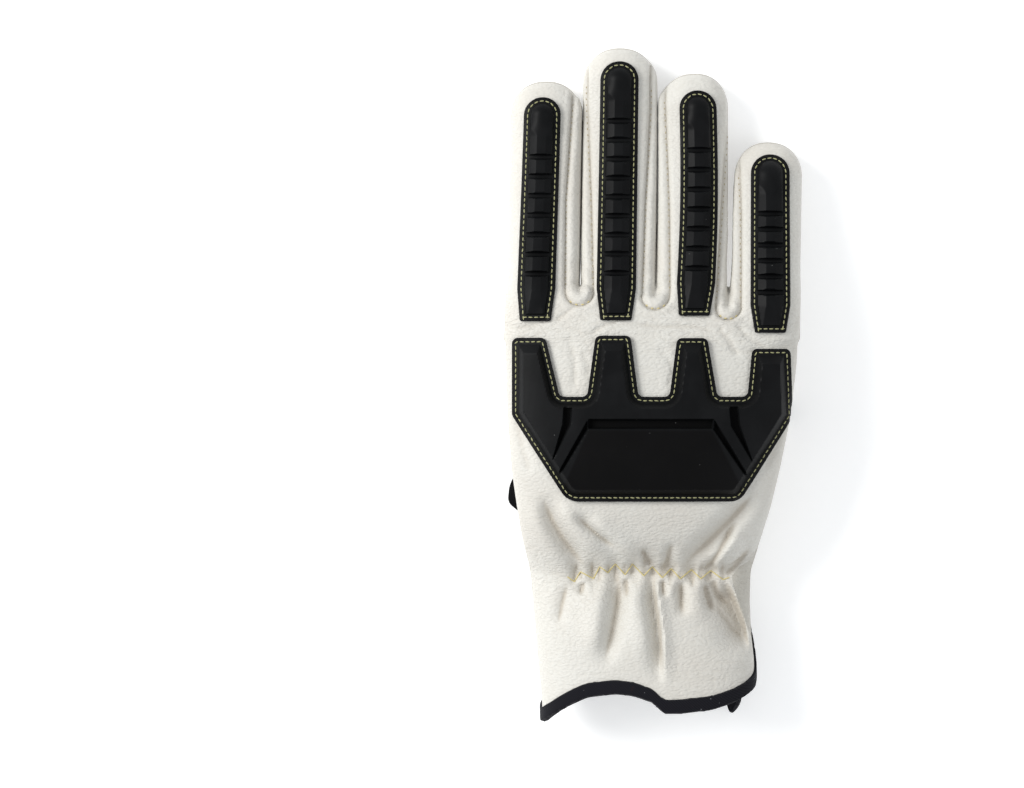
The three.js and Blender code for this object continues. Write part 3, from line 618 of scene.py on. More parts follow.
def skin_of(name, lofts):
    """One smooth skin around several lofts, as points and triangles in millimetres."""
    mesh = bmesh.new()
    for rings in lofts:
        rows = [[mesh.verts.new(point) for point in ring] for ring in rings]
        for row, following in zip(rows, rows[1:]):
            for step in range(len(row)):
                turn = (step + 1) % len(row)
                mesh.faces.new((row[step], row[turn], following[turn], following[step]))
        mesh.faces.new(rows[0][::-1])
        mesh.faces.new(rows[-1])
    bmesh.ops.triangulate(mesh, faces=[face for face in mesh.faces if len(face.verts) > 4])
    bmesh.ops.recalc_face_normals(mesh, faces=mesh.faces)
    data = bpy.data.meshes.new(name)
    mesh.to_mesh(data)
    mesh.free()
    skin = bpy.data.objects.new(name, data)
    bpy.context.scene.collection.objects.link(skin)
    pick(skin)
    remesh = skin.modifiers.new("skin", "REMESH")
    remesh.mode = "VOXEL"
    remesh.voxel_size = GRAIN_VOXEL
    remesh.adaptivity = 0
    bpy.ops.object.modifier_apply(modifier="skin")
    points, faces = read_mesh(skin)
    bpy.data.objects.remove(skin)
    return relaxed(points, faces, 14), faces


def read_mesh(piece):
    """Points and triangles of an object's mesh."""
    data = piece.data
    data.calc_loop_triangles()
    points = np.empty(len(data.vertices) * 3)
    data.vertices.foreach_get("co", points)
    faces = np.empty(len(data.loop_triangles) * 3, np.int64)
    data.loop_triangles.foreach_get("vertices", faces)
    return points.reshape(-1, 3), faces.reshape(-1, 3)


def edges_of(faces):
    pairs = np.concatenate([faces[:, [0, 1]], faces[:, [1, 2]], faces[:, [2, 0]]])
    return np.unique(np.sort(pairs, axis=1), axis=0)


def neighbours_mean(values, edges, count):
    """Mean of each point's neighbours."""
    total = np.zeros_like(values)
    for column in range(values.shape[1]):
        total[:, column] = np.bincount(edges[:, 0], values[edges[:, 1], column], count)
        total[:, column] += np.bincount(edges[:, 1], values[edges[:, 0], column], count)
    degree = np.bincount(edges.ravel(), minlength=count)
    return total / np.maximum(degree, 1)[:, None]


def calmed(values, faces, rounds):
    """Values evened out over the skin."""
    edges = edges_of(faces)
    for _ in range(rounds):
        values = neighbours_mean(values, edges, len(values))
    return values


def relaxed(points, faces, rounds):
    """Evens out the steps of the remeshing without shrinking the form."""
    edges = edges_of(faces)
    for step in range(rounds):
        pull = 0.55 if step % 2 == 0 else -0.57
        points = points + pull * (neighbours_mean(points, edges, len(points)) - points)
    return points


def normals_of(points, faces):
    corner = points[faces]
    face_normal = np.cross(corner[:, 1] - corner[:, 0], corner[:, 2] - corner[:, 0])
    normal = np.zeros_like(points)
    for column in range(3):
        for place in range(3):
            normal[:, column] += np.bincount(faces[:, place], face_normal[:, column], len(points))
    return normal / np.maximum(np.linalg.norm(normal, axis=1, keepdims=True), 1e-12)


def cut_along(points, faces, value):
    """Splits the triangles where a value changes its sign, so that its zero line runs along edges."""
    value = value.copy()
    edges = edges_of(faces)
    ends = value[edges]
    crossing = ends[:, 0] * ends[:, 1] < 0
    share = np.abs(ends[crossing, 0]) / (np.abs(ends[crossing, 0]) + np.abs(ends[crossing, 1]))
    value[edges[crossing][share < 0.15, 0]] = 0
    value[edges[crossing][share > 0.85, 1]] = 0
    ends = value[edges]
    crossing = ends[:, 0] * ends[:, 1] < 0
    pairs = edges[crossing]
    if not len(pairs):
        return points, faces
    size = np.abs(value[pairs])
    share = (size[:, 0] / size.sum(1))[:, None]
    added = points[pairs[:, 0]] * (1 - share) + points[pairs[:, 1]] * share
    count = len(points)
    keys = pairs[:, 0] * count + pairs[:, 1]
    order = np.argsort(keys)

    def middle_of(a, b):
        wanted = np.minimum(a, b) * count + np.maximum(a, b)
        found = np.searchsorted(keys[order], wanted)
        return count + order[found]

    sign = np.sign(value)[faces]
    pair_cross = [sign[:, k] * sign[:, (k + 1) % 3] < 0 for k in range(3)]
    crossings = np.sum(pair_cross, axis=0)
    kept = [faces[crossings == 0]]
    for k in range(3):
        lone = (crossings == 2) & pair_cross[k] & pair_cross[(k + 2) % 3]
        a, b, c = (faces[lone, (k + turn) % 3] for turn in range(3))
        ab, ac = middle_of(a, b), middle_of(a, c)
        kept += [np.stack([a, ab, ac], 1), np.stack([ab, b, c], 1), np.stack([ab, c, ac], 1)]
        single = (crossings == 1) & pair_cross[(k + 1) % 3]
        a, b, c = (faces[single, (k + turn) % 3] for turn in range(3))
        bc = middle_of(b, c)
        kept += [np.stack([a, b, bc], 1), np.stack([a, bc, c], 1)]
    return np.concatenate([points, added]), np.concatenate(kept)


# Seams and lines on the leather


def side_level(points):
    """Height over the line half way up the sides."""
    y = points[:, 1]
    hand = body_middle(y / BODY_LENGTH)
    finger = np.maximum(0, finger_under(y)) + FINGER_DEPTH / 2
    share = step_up((y / BODY_LENGTH - 0.90) / 0.06)
    return points[:, 2] - (hand * (1 - share) + finger * share)


def seam_level(points):
    """Height over the seam between the back and the palm, which climbs beside the flap of the cuff."""
    climb = np.interp(points[:, 1], FLAP_ALONG, FLAP_RISE) * (points[:, 0] > 0)
    return side_level(points) - climb


def gap_line(name, y):
    """Middle of the gap between the two fingers beside a strip."""
    left, right = FORKS[name][:2]
    return (finger_line(left, y) + finger_line(right, y)) / 2


def pinched(points):
    """Fingers drawn together along the gaps between them, where they touch."""
    points = points.copy()
    width = FINGER_WIDTH / 2 - FINGER_SHY
    for name, (left, right, bottom, _, _, kept) in FORKS.items():
        y = points[:, 1]
        off = points[:, 0] - gap_line(name, y)
        half = (finger_line(right, y) - finger_line(left, y)) / 2 - width
        near = bell(np.maximum(0, np.abs(off) - half), 2.4)
        closing = np.maximum(0, half - kept) * step_up((y - bottom - 2) / 7)
        points[:, 0] -= np.sign(off) * np.minimum(closing * near, np.abs(off) * 0.985)
    return points


def soft_webs(points, faces):
    """Rounds the bottoms of the gaps between the fingers."""
    calm = calmed(points, faces, 30)
    for name, (_, _, bottom, _, _, _) in FORKS.items():
        off = points[:, 0] - gap_line(name, points[:, 1])
        share = 0.9 * bell(points[:, 1] - bottom - 4, 6.5) * bell(off, 6)
        points = points * (1 - share[:, None]) + calm * share[:, None]
    return points


def fork_field(name, points):
    """Distance outside the strip between two fingers, and the reach of its roll, seen from above."""
    _, _, bottom, left, right, _ = FORKS[name]
    x, y = points[:, 0] - gap_line(name, points[:, 1]), points[:, 1]
    rise = y - bottom
    stops = (0, FORK_HALF_WAY, FORK_NEAR_TIP)
    reach = np.where(x < 0, np.interp(rise, stops, left), np.interp(rise, stops, right))
    low = (left[0] + right[0]) / 2
    below = np.hypot(x, np.minimum(0, y - bottom - low)) - low
    return np.where(y > bottom + low, np.abs(x) - reach, below), reach


def hem_height(points):
    """Height of a place over the hem, along the glove, with the vent at the little finger's side."""
    along = points[:, 1] / BODY_LENGTH
    left, right = body_left(along), body_right(along)
    across = np.clip((2 * points[:, 0] - left - right) / (right - left), -1, 1)
    cosine = np.sign(across) * np.abs(across) ** (BODY_SQUARENESS / 2)
    around = np.arccos(cosine) / (2 * math.pi)
    around = np.where(points[:, 2] > body_middle(along), around, 1 - around)
    from_vent = np.abs(points[:, 2] - body_middle(along) + VENT_DROP)
    from_vent = np.where(across > 0.35, from_vent, HALF_PALM)
    vent = VENT_HEIGHT * np.exp(-((from_vent / VENT_SPREAD) ** 0.9))
    return points[:, 1] - HEM_RISE * hem_share(around) - vent


# Elastic's zigzag thread over the back
ZIGZAG = (
    (-32.5, 54.0), (-29.9, 52.1), (-27.6, 55.9), (-22.6, 53.3), (-20.2, 57.9), (-17.1, 55.6), (-14.3, 59.0),
    (-10.5, 54.8), (-7.8, 59.0), (-3.4, 54.4), (-0.2, 57.9), (3.6, 53.7), (7.0, 57.1), (10.5, 53.3),
    (14.7, 56.7), (18.3, 53.3), (22.1, 56.3), (26.8, 52.9), (29.1, 53.7),
)


def puckers():
    """Short creases that run from the turns of the zigzag: down from the high ones, up from the low ones."""
    creases = []
    for step, (x, y) in enumerate(ZIGZAG[1:-1], 1):
        upper = y > ZIGZAG[step - 1][1]
        reach = (5.5 + 2.5 * math.sin(step * 2.3)) * (-1 if upper else 1)
        slant = 0.12 * reach * math.sin(step * 1.7)
        line = [(x, y - 0.1 * reach), (x + slant * 0.3, y + 0.45 * reach), (x + slant, y + reach)]
        creases.append((line, 0.55, 0.7))
    return tuple(creases)


PUCKERS = puckers()

# Folds of the back. Each has a line of places in millimetres, and on its left and right side, seen
# along the line, a height and a width. A height under zero is a valley.
FOLDS = (
    # valleys and rolls that run down to the elastic
    ([(-42.5, 86.5), (-38.6, 76), (-33, 66.5), (-24, 56)], (-2.0, 2.8), (-2.0, 2.4)),
    ([(-36.5, 84), (-29.5, 72), (-21, 63.5), (-17.5, 58.5)], (1.1, 3.0), (1.1, 2.6)),
    ([(-30.5, 79), (-21.5, 70.5), (-11.5, 63.5)], (-1.3, 1.5), (-0.9, 1.2)),
    ([(-25.5, 78), (-12.5, 68.5), (-5, 62.5), (-3.5, 58.5)], (1.0, 2.6), (1.2, 2.4)),
    ([(-4.5, 65.5), (-2.5, 61.5), (-0.2, 57.5)], (-0.8, 1.6), (-1.7, 1.0)),
    ([(4.4, 55), (6, 62.5), (7.5, 68.5)], (-0.9, 1.5), (-0.9, 1.5)),
    ([(39.8, 88.5), (33.5, 80), (22.5, 68.5), (14, 61), (10.8, 55.5)], (-2.2, 2.8), (-2.2, 2.8)),
    ([(35, 70.5), (26.5, 62.5), (20.5, 57)], (1.5, 2.4), (1.5, 2.4)),
    ([(31.5, 76), (24.5, 62), (20, 56.5), (18.3, 55)], (-1.4, 1.1), (-0.9, 1.3)),
    ([(26.5, 53.5), (32, 58.5), (38, 66.5)], (-1.1, 1.4), (-0.9, 1.6)),
    ([(-46, 84), (-43, 72), (-37, 61), (-29.5, 52.5)], (0.8, 4.0), (0.8, 3.6)),
    # flutes that run from the elastic to the hem
    ([(-32.5, 52), (-34.5, 44), (-36.5, 34)], (-0.6, 2.0), (-0.6, 2.0)),
    ([(-26.5, 52.5), (-27.5, 46.5)], (-0.9, 1.1), (-0.9, 1.1)),
    ([(-20, 54), (-22, 42), (-22.3, 30), (-20, 22)], (1.2, 4.2), (1.0, 3.6)),
    ([(-13.5, 56.5), (-12.8, 47), (-15.4, 33.5), (-18, 23), (-18.5, 18)], (-2.3, 2.4), (-2.0, 2.8)),
    ([(-10.5, 54), (-9.7, 45.5)], (-1.0, 1.0), (-1.0, 1.0)),
    ([(-7.8, 57), (-5.9, 42), (-2.8, 26.5), (-1, 18)], (1.2, 4.0), (1.0, 3.4)),
    ([(-0.2, 57), (1.3, 44), (3.2, 32.5), (3.8, 11)], (1.2, 2.6), (-2.6, 3.4)),
    ([(3.6, 53.5), (4.4, 45.5)], (-1.2, 1.2), (-1.2, 1.2)),
    ([(7, 56), (6.7, 45.5)], (1.1, 1.8), (1.1, 1.8)),
    ([(10.5, 53.5), (10.8, 44), (11.6, 38)], (-1.5, 1.5), (-1.2, 1.5)),
    ([(14.3, 55), (16.5, 45.5), (20, 36)], (0.7, 3.0), (0.7, 3.0)),
    ([(19.2, 52), (21.5, 45.5), (22.6, 40)], (-1.3, 1.2), (-1.0, 1.2)),
    ([(23, 54), (23.8, 47.5), (29.5, 43.5)], (-0.9, 1.0), (-0.9, 1.0)),
    ([(26.5, 54.5), (30.6, 46), (33.7, 38), (36, 30), (37.6, 22)], (0.9, 3.0), (-3.2, 6.5)),
)

FOLD_STRENGTH = 1.9
FOLD_SPREAD = 1.35
FOLD_BLEND = 3.2
FOLD_CORE = 0.5
FOLD_CORE_WIDTH = 0.75

# Shallow creases over the knuckles: lines, a depth and a width
CREASES = (
    ([(-37, 151), (-32, 155), (-28, 157.5)], 0.55, 0.9),
    ([(-53, 148.5), (-44, 150), (-38, 153)], 0.35, 1.0),
    ([(-24.5, 145.5), (-19, 149.5), (-12, 151.5)], 0.45, 0.9),
    ([(-10, 150.5), (2, 148.8), (16, 149.5), (27, 146)], 0.50, 1.0),
    ([(-4, 147), (8, 146.3), (18, 147)], 0.30, 0.9),
    ([(24, 150), (29, 144), (33, 137)], 0.45, 1.0),
    ([(31, 151.5), (37, 143.5), (44, 141)], 0.40, 1.0),
    ([(27, 141), (34, 139.5), (41, 139.5)], 0.40, 0.9),
    ([(-33, 147), (-29, 136), (-30, 124)], 0.35, 1.4),
    ([(-26, 140), (-24, 130)], 0.30, 1.2),
    ([(2, 142), (8, 134), (6, 125)], 0.28, 1.3),
    ([(-52, 118), (-50, 105), (-46, 92)], 0.45, 1.8),
    ([(52, 120), (47, 104), (41, 92)], 0.45, 1.8),
)


def from_line(plan, line):
    """Distance of places from a line, the side they lie on and the share of the line they lie at."""
    line = np.array(line, float)
    best = np.full(len(plan), 1e9)
    side = np.zeros(len(plan))
    share = np.zeros(len(plan))
    lengths = np.linalg.norm(np.diff(line, axis=0), axis=1)
    past = np.concatenate([[0], np.cumsum(lengths)])
    for step, (start, end) in enumerate(zip(line, line[1:])):
        ahead = (end - start) / lengths[step]
        offset = plan - start
        run = np.clip(offset @ ahead, 0, lengths[step])
        gap = np.linalg.norm(offset - run[:, None] * ahead, axis=1)
        nearer = gap < best
        best[nearer] = gap[nearer]
        side[nearer] = np.sign(offset[nearer, 1] * ahead[0] - offset[nearer, 0] * ahead[1])
        share[nearer] = (past[step] + run[nearer]) / past[-1]
    return best, side, share


def curved(line):
    """A line with two rounds of its corners cut off."""
    line = np.array(line, float)
    for _ in range(2):
        inner = np.empty((2 * (len(line) - 1), 2))
        inner[0::2] = line[:-1] * 0.75 + line[1:] * 0.25
        inner[1::2] = line[:-1] * 0.25 + line[1:] * 0.75
        line = np.concatenate([line[:1], inner, line[-1:]])
    return line


def fold_heights(plan):
    """Height that the folds and creases add over the back, and how deep in a crease each place lies."""
    total = np.zeros(len(plan))
    core = np.zeros(len(plan))
    for line, (left_height, left_width), (right_height, right_width) in FOLDS:
        gap, side, share = from_line(plan, curved(line))
        ends = step_up(share / 0.28) * step_up((1 - share) / 0.36)
        signed = gap * side
        blend = step_up(signed / FOLD_BLEND + 0.5)
        left = left_height * bell(gap, left_width * FOLD_SPREAD)
        right = right_height * bell(gap, right_width * FOLD_SPREAD)
        total += FOLD_STRENGTH * ends * (left * blend + right * (1 - blend))
        if min(left_height, right_height) < 0:
            core = np.maximum(core, ends * bell(gap, FOLD_CORE_WIDTH))
    for line, depth, width in CREASES + PUCKERS:
        gap, _, share = from_line(plan, curved(line))
        narrow = bell(gap, width) * step_up(share / 0.2) * step_up((1 - share) / 0.2)
        total -= depth * narrow
        core = np.maximum(core, depth * narrow)
    return total - FOLD_CORE * core, core


def gathers(plan):
    """Small puckers on both sides of the elastic, and soft flutes towards the hem."""
    x, y = plan[:, 0], plan[:, 1]
    d = y - ELASTIC_HEIGHT
    inner = step_up((33 - np.abs(x + 2)) / 8)
    wave = 0.5 + 0.5 * np.cos(2 * math.pi * (x + 0.2) / GATHER_PITCH + 0.35 * np.sin(x / 6))
    pucker = 1.5 * bell(d, np.where(d > 0, 5.5, 7.0)) * inner
    pull = 1.5 * bell(d, 11.0) + 1.2 * bell(d, 3.6) * inner
    return -(pucker * wave + pull)


def shaped(points, normal):
    """Folds, gathers and rolls over the smooth skin. Gives the folded points and a share of painted shade,
    high along the crease lines and where the folds sink.
    """
    back = step_up((normal[:, 2] + 0.05) / 0.5) * step_up(side_level(points) / 3)
    plan = points[:, :2]
    hand = step_up((BODY_LENGTH + 2 - plan[:, 1]) / 10)
    folds, core = fold_heights(plan)
    lift = (folds + gathers(plan)) * hand * back
    folded = points.copy()
    folded[:, 2] += lift
    palm = step_up((-normal[:, 2] + 0.05) / 0.5) * (1 - step_up(side_level(points) / 3 + 1))
    rumple = 0.35 * np.sin(plan[:, 1] / 5.5 + 0.5 * np.sin(plan[:, 0] / 6)) * np.sin(plan[:, 0] / 9 + 1)
    folded += normal * (rumple * palm * step_up((points[:, 2] - 2) / 6))[:, None]
    # Share of painted shade: crease lines, and the low sides of the folds
    return folded, np.clip(core * 0.75 - lift / 9, 0, 1) * hand * back


def grooved(points, normal):
    """Seams sunk into the leather, with the rolls of the strips between the fingers. Also gives how deep each
    place lies in a seam, which is then painted as shade.
    """
    depth = np.zeros(len(points))
    roll = np.zeros(len(points))
    inside_any = np.zeros(len(points), bool)
    for step, name in enumerate(FORKS):
        gap, reach = fork_field(name, points)
        near = points[:, 1] > FORKS[name][2] - 8
        inside = (gap < 0) & near
        inside_any |= inside
        share = np.clip(-gap / np.maximum(reach, 0.5), 0, 1)
        tuck = 0.28 * np.sin(points[:, 1] / 1.9 + 2 * np.sin(points[:, 1] / 5.3 + step))
        tuck *= 0.25 + 0.75 * bell(points[:, 1] - FORKS[name][2] - 9, 8)
        swell = 1.2 * np.sin(math.pi * share ** 0.8) * np.minimum(1, reach / 3.6) * (1 + tuck)
        roll += np.where(inside, swell, 0)
        roll += np.where(~inside & near, 0.35 * bell(gap - 1.8, 1.2), 0)
        depth += np.where(near, 0.95 * bell(gap, 0.75), 0)
    flat = step_up((np.abs(normal[:, 2]) - 0.15) / 0.3)
    level = seam_level(points)
    side_seam = 0.5 * bell(level, SEAM_WIDTH) * (~inside_any)
    side_seam *= step_up((1 - np.abs(normal[:, 2])) / 0.4)
    lift = roll * flat - depth * flat - side_seam
    return points + normal * lift[:, None], depth * flat + side_seam


BACK, PALM, MIDDLE_FRONT, RING_FRONT, THUMB_ROOT_SIDE, FIRST_STRIP = range(6)


def regions_of(points):
    """Number of the leather piece that each place belongs to."""
    level = seam_level(points)
    x, y = points[:, 0], points[:, 1]
    label = np.where(level > 0, BACK, PALM)
    seam_x = thumb_seam(y / BODY_LENGTH)
    strip = (x < seam_x) & (y < THUMB_SEAM_ALONG[-1] * BODY_LENGTH)
    root = (x < -HALF_PALM + ROOT_WIDTH * 0.93) & (y > 0.4 * BODY_LENGTH) & (y < 0.745 * BODY_LENGTH)
    label[(level <= 0) & (strip | root)] = THUMB_ROOT_SIDE
    front = (level <= 0) & (y > BODY_LENGTH * 0.985 - FORK_SLOPE * x)
    gaps = [gap_line(name, np.maximum(y, BODY_LENGTH)) for name in FORKS]
    label[front & (x > gaps[0]) & (x < gaps[1])] = MIDDLE_FRONT
    label[front & (x > gaps[1]) & (x < gaps[2])] = RING_FRONT
    for step, name in enumerate(FORKS):
        gap, _ = fork_field(name, points)
        label[(gap < 0) & (y > FORKS[name][2] - 8)] = FIRST_STRIP + step
    return label


# Leather pieces in the order of their region numbers: name, the node shown by it, and its slot
LEATHER_PIECES = (
    ("back_leather", "back_panel", "back_leather"),
    ("palm_leather", "palm_panel", "palm_leather"),
    ("middle_front_leather", "middle_finger_front", "palm_leather"),
    ("ring_front_leather", "ring_finger_front", "palm_leather"),
    ("thumb_root_leather", "thumb_leather", "palm_leather"),
    ("strip_index_middle", "fork_index_middle", "back_leather"),
    ("strip_middle_ring", "fork_middle_ring", "back_leather"),
    ("strip_ring_little", "fork_ring_little", "back_leather"),
)


def pick(piece):
    """Selects a piece alone and makes it active."""
    deselect()
    piece.select_set(True)
    bpy.context.view_layer.objects.active = piece


def add_piece(name, points, faces, slot, node=None, attributes=None, angle=50):
    """New smooth piece in its slot's material, from points in millimetres of the glove's frame."""
    data = bpy.data.meshes.new(name)
    corners = faces if isinstance(faces, list) else faces.tolist()
    data.from_pydata(((points + GLOVE_ZERO) * MM).tolist(), [], corners)
    for attribute, values in (attributes or {}).items():
        layer = data.attributes.new(attribute, "FLOAT", "POINT")
        layer.data.foreach_set("value", values.astype(np.float32))
    piece = bpy.data.objects.new(name, data)
    bpy.context.scene.collection.objects.link(piece)
    pick(piece)
    bpy.ops.object.shade_smooth_by_angle(angle=math.radians(angle))
    piece.data.materials.append(materials[slot])
    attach(piece, "root")
    if node:
        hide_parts(node)
    return piece


def thickened(outer, inner, faces):
    """Closed sheet between two skins over the same triangles."""
    used, faces = np.unique(faces, return_inverse=True)
    faces = faces.reshape(-1, 3)
    count = len(used)
    directed = np.concatenate([faces[:, [0, 1]], faces[:, [1, 2]], faces[:, [2, 0]]])
    keys = directed[:, 0] * count + directed[:, 1]
    back = directed[:, 1] * count + directed[:, 0]
    open_edges = directed[~np.isin(keys, back)]
    a, b = open_edges.T
    rim = np.concatenate([np.stack([b, a, a + count], 1), np.stack([b, a + count, b + count], 1)])
    return (
        np.concatenate([outer[used], inner[used]]),
        np.concatenate([faces, faces[:, ::-1] + count, rim]),
        used,
    )


def without_scraps(faces):
    """The largest connected part of the triangles, so that no loose scrap is left at a seam."""
    parent = np.arange(faces.max() + 1)
    edges = edges_of(faces)
    while True:
        low = np.minimum(parent[edges[:, 0]], parent[edges[:, 1]])
        new = parent.copy()
        np.minimum.at(new, edges[:, 0], low)
        np.minimum.at(new, edges[:, 1], low)
        new = new[new]
        if (new == parent).all():
            break
        parent = new
    root = parent[faces[:, 0]]
    names, counts = np.unique(root, return_counts=True)
    return faces[root == names[counts.argmax()]]


def wrinkle_share(points):
    """Where fine creases show: over the knuckles, by the forks and round the elastic."""
    x, y = points[:, 0], points[:, 1]
    knuckles = bell(y - 148, 9)
    elastic = bell(y - ELASTIC_HEIGHT, 16) * 0.7
    hem = 0.45 * step_up((40 - y) / 20) * step_up((x - 2) / 8)
    return np.clip(0.15 + knuckles + elastic + hem, 0, 1)


def leather_lines():
    """Seams, edges and bends of the leather and the tape, as fields that are zero along them."""
    strips = [lambda points, name=name: fork_field(name, points)[0] for name in FORKS]
    levels = (0, -TAPE_LIFT, 0.5 - TAPE_LIFT, TAPE_WIDTH - TAPE_LIFT, TAPE_WIDTH - TAPE_LIFT - 0.45)
    hems = [lambda points, level=level: hem_height(points) - level for level in levels]
    return [seam_level, *strips, lambda points: points[:, 0] - thumb_seam(points[:, 1] / BODY_LENGTH), *hems]


def dress_leather():
    """All leather pieces. Returns the folded skin, for what is sewn onto it."""
    hand, faces = skin_of("hand_skin", [body_rings(), root_rings(), *map(finger_rings, FINGERS)])
    hand = soft_webs(pinched(hand), faces)
    for line in leather_lines():
        hand, faces = cut_along(hand, faces, line(hand))
    normal = normals_of(hand, faces)
    folded, depth = shaped(hand, normal)
    folded_normal = normals_of(folded, faces)
    calm = unit(calmed(folded_normal, faces, 6))
    outer, groove = grooved(folded, folded_normal)
    inner = folded - calm * LEATHER
    middle = hand[faces].mean(1)
    label = regions_of(middle)
    above = hem_height(middle) > 0
    # Painted shade on the leather: in the fold valleys, along the crease lines and in the sunk seams
    painted_shade = np.clip(depth + groove * 0.55, 0, 1)
    for step, (name, node, slot) in enumerate(LEATHER_PIECES):
        chosen = without_scraps(faces[(label == step) & above])
        points, sheet, used = thickened(outer, inner, chosen)
        attributes = {
            # The inner face gets an even painted shade of 0.4
            "fold_shade": np.concatenate([painted_shade[used], painted_shade[used] * 0 + 0.4]),
            "wrinkle": np.tile(wrinkle_share(hand[used]), 2),
        }
        add_piece(name, points, sheet, slot, node, attributes)
    dress_thumb()
    dress_tape(hand, folded, calm, faces)
    return outer, faces


def dress_thumb():
    """Folded thumb, with the seams along its sides."""
    skin, faces = skin_of("thumb_form", [thumb_rings()])
    skin, faces = cut_along(skin, faces, skin[:, 2] - THUMB_MIDDLE)
    normal = normals_of(skin, faces)
    level = skin[:, 2] - THUMB_MIDDLE
    seam = bell(level, SEAM_WIDTH)
    bend = 0.5 * np.sin(skin[:, 1] / 4.2 + skin[:, 0] / 9) * step_up(level / 4)
    bend *= step_up((np.abs(normal[:, 2]) - 0.2) / 0.5)
    outer = skin + normal * (bend - 0.8 * seam + 0.3 * bell(np.abs(level) - 1.8, 1.1))[:, None]
    inner = skin - normal * LEATHER
    open_end = skin[faces].mean(1)[:, 1] > THUMB[0, 1] * BODY_LENGTH + 2
    points, sheet, used = thickened(outer, inner, without_scraps(faces[open_end]))
    # Painted shade in the sunk seams along the thumb's sides, and an even painted shade of 0.4 on its inner
    # face
    attributes = {
        "fold_shade": np.concatenate([seam[used] * 0.6, seam[used] * 0 + 0.4]),
        "wrinkle": np.full(2 * len(used), 0.35),
    }
    add_piece("thumb_leather_skin", points, sheet, "palm_leather", "thumb_leather", attributes)


def dress_tape(hand, folded, normal, faces):
    """Tape folded over the hem and up both sides of the vent."""
    height = hem_height(hand)
    low, high = -TAPE_LIFT, TAPE_WIDTH - TAPE_LIFT
    middle = height[faces].mean(1)
    band = without_scraps(faces[(middle > low) & (middle < high)])
    round_low = step_up((height - low) / 0.6)
    outward = TAPE_OUT * round_low * (0.25 + 0.75 * step_up((high - height) / 0.42))
    outward -= LEATHER / 2 * (1 - round_low)
    inward = LEATHER / 2 + (LEATHER / 2 + TAPE_OUT) * round_low
    outer = folded + normal * outward[:, None]
    inner = folded - normal * inward[:, None]
    outer[:, 2] = np.maximum(outer[:, 2], 0.02)
    inner[:, 2] = np.maximum(inner[:, 2], 0.6)
    points, sheet, _ = thickened(outer, inner, band)
    add_piece("hem_tape", points, sheet, "binding_tape", "cuff_binding")


# Moulded guards. A fine sheet takes the height of the mould and is then laid over the leather.


def height_finder(points, faces):
    """Gives the height of the top of a skin at a place, in millimetres."""
    tree = BVHTree.FromPolygons(points.tolist(), faces.tolist())

    def height_at(x, y):
        hit = tree.ray_cast(Vector((x, y, 200)), Vector((0, 0, -1)))
        return hit[0].z if hit[0] is not None else None

    return height_at


def bridging_level(points, faces):
    """Height of the back, evened out so that a guard spans the small folds under it."""
    even, true = height_finder(calmed(points, faces, 40), faces), height_finder(points, faces)

    def level_at(x, y):
        return max(even(x, y) or 0, true(x, y) or 0)

    return level_at


def edit(piece):
    """Opens a piece in edit mode with all of it selected."""
    pick(piece)
    bpy.ops.object.mode_set(mode="EDIT")
    bpy.ops.mesh.select_all(action="SELECT")


def close_edit():
    bpy.ops.object.mode_set(mode="OBJECT")


def depth_in(plan, outline):
    """Distance inside a closed outline, and under zero outside it."""
    line = np.array(outline, float)
    x, y = plan[:, 0], plan[:, 1]
    inside = np.zeros(len(plan), bool)
    for (x0, y0), (x1, y1) in zip(line, np.roll(line, -1, 0)):
        if y0 != y1:
            inside ^= ((y0 > y) != (y1 > y)) & (x < x0 + (y - y0) * (x1 - x0) / (y1 - y0))
    gap = from_line(plan, np.concatenate([line, line[:1]]))[0]
    return np.where(inside, gap, -gap)


def cut_sheet(outline, creases=()):
    """Fine flat sheet, cut to an outline, with edges along the rim, the mould's foot and its creases."""
    line = np.array(outline)
    low, high = line.min(0) - 0.5, line.max(0) + 0.5
    size = high - low
    deselect()
    bpy.ops.mesh.primitive_grid_add(
        x_subdivisions=round(size[0] / MOULD_STEP), y_subdivisions=round(size[1] / MOULD_STEP), size=1)
    sheet = bpy.context.object
    edit(sheet)
    bpy.ops.transform.resize(value=(size[0], size[1], 1))
    bpy.ops.transform.translate(value=(*(low + size / 2), 0))
    close_edit()
    points, faces = read_mesh(sheet)
    bpy.data.objects.remove(sheet)
    for inset in (0, 0.25, GUARD_FOOT, GUARD_FOOT + 0.6):
        points, faces = cut_along(points, faces, depth_in(points[:, :2], outline) - inset)
    for crease in creases:
        points, faces = cut_along(points, faces, crease(points[:, :2]))
    faces = faces[depth_in(points[faces].mean(1)[:, :2], outline) > 0]
    return points, faces


def lip_height(depth):
    """Lip with a rounded edge and a shallow channel for the stitches."""
    rim = 1 - (1 - np.clip(depth / 0.55, 0, 1)) ** 2
    return GUARD_LIP * (0.45 + 0.55 * np.sqrt(rim)) - 0.22 * bell(depth - STITCH_INSET, 0.5)


def block_run(plan, shape):
    """How far down a guard of blocks each place lies, along its slanted blocks."""
    fade = np.clip(-plan[:, 1] / shape["crown"], 0, 1)
    return -plan[:, 1] - shape["lean"] * np.abs(plan[:, 0]) / (shape["width"] / 2) * fade


def block_grooves(shape):
    """Places of the grooves between the blocks, down the guard."""
    pitch = (shape["length"] - shape["crown"] - shape["heel"]) / shape["blocks"]
    return [shape["crown"] + step * pitch for step in range(shape["blocks"] + 1)]


def block_creases(shape):
    """Lines along which the mould of a guard of blocks changes its slope."""
    def off(plan, groove, reach):
        return np.abs(block_run(plan, shape) - groove) - reach

    reaches = (GUARD_GROOVE / 2, GUARD_GROOVE / 2 + BLOCK_SHOULDER)
    edges = [partial(off, groove=groove, reach=reach) for groove in block_grooves(shape) for reach in reaches]
    return [lambda plan: np.abs(plan[:, 0]) - shape["crest"], *edges]


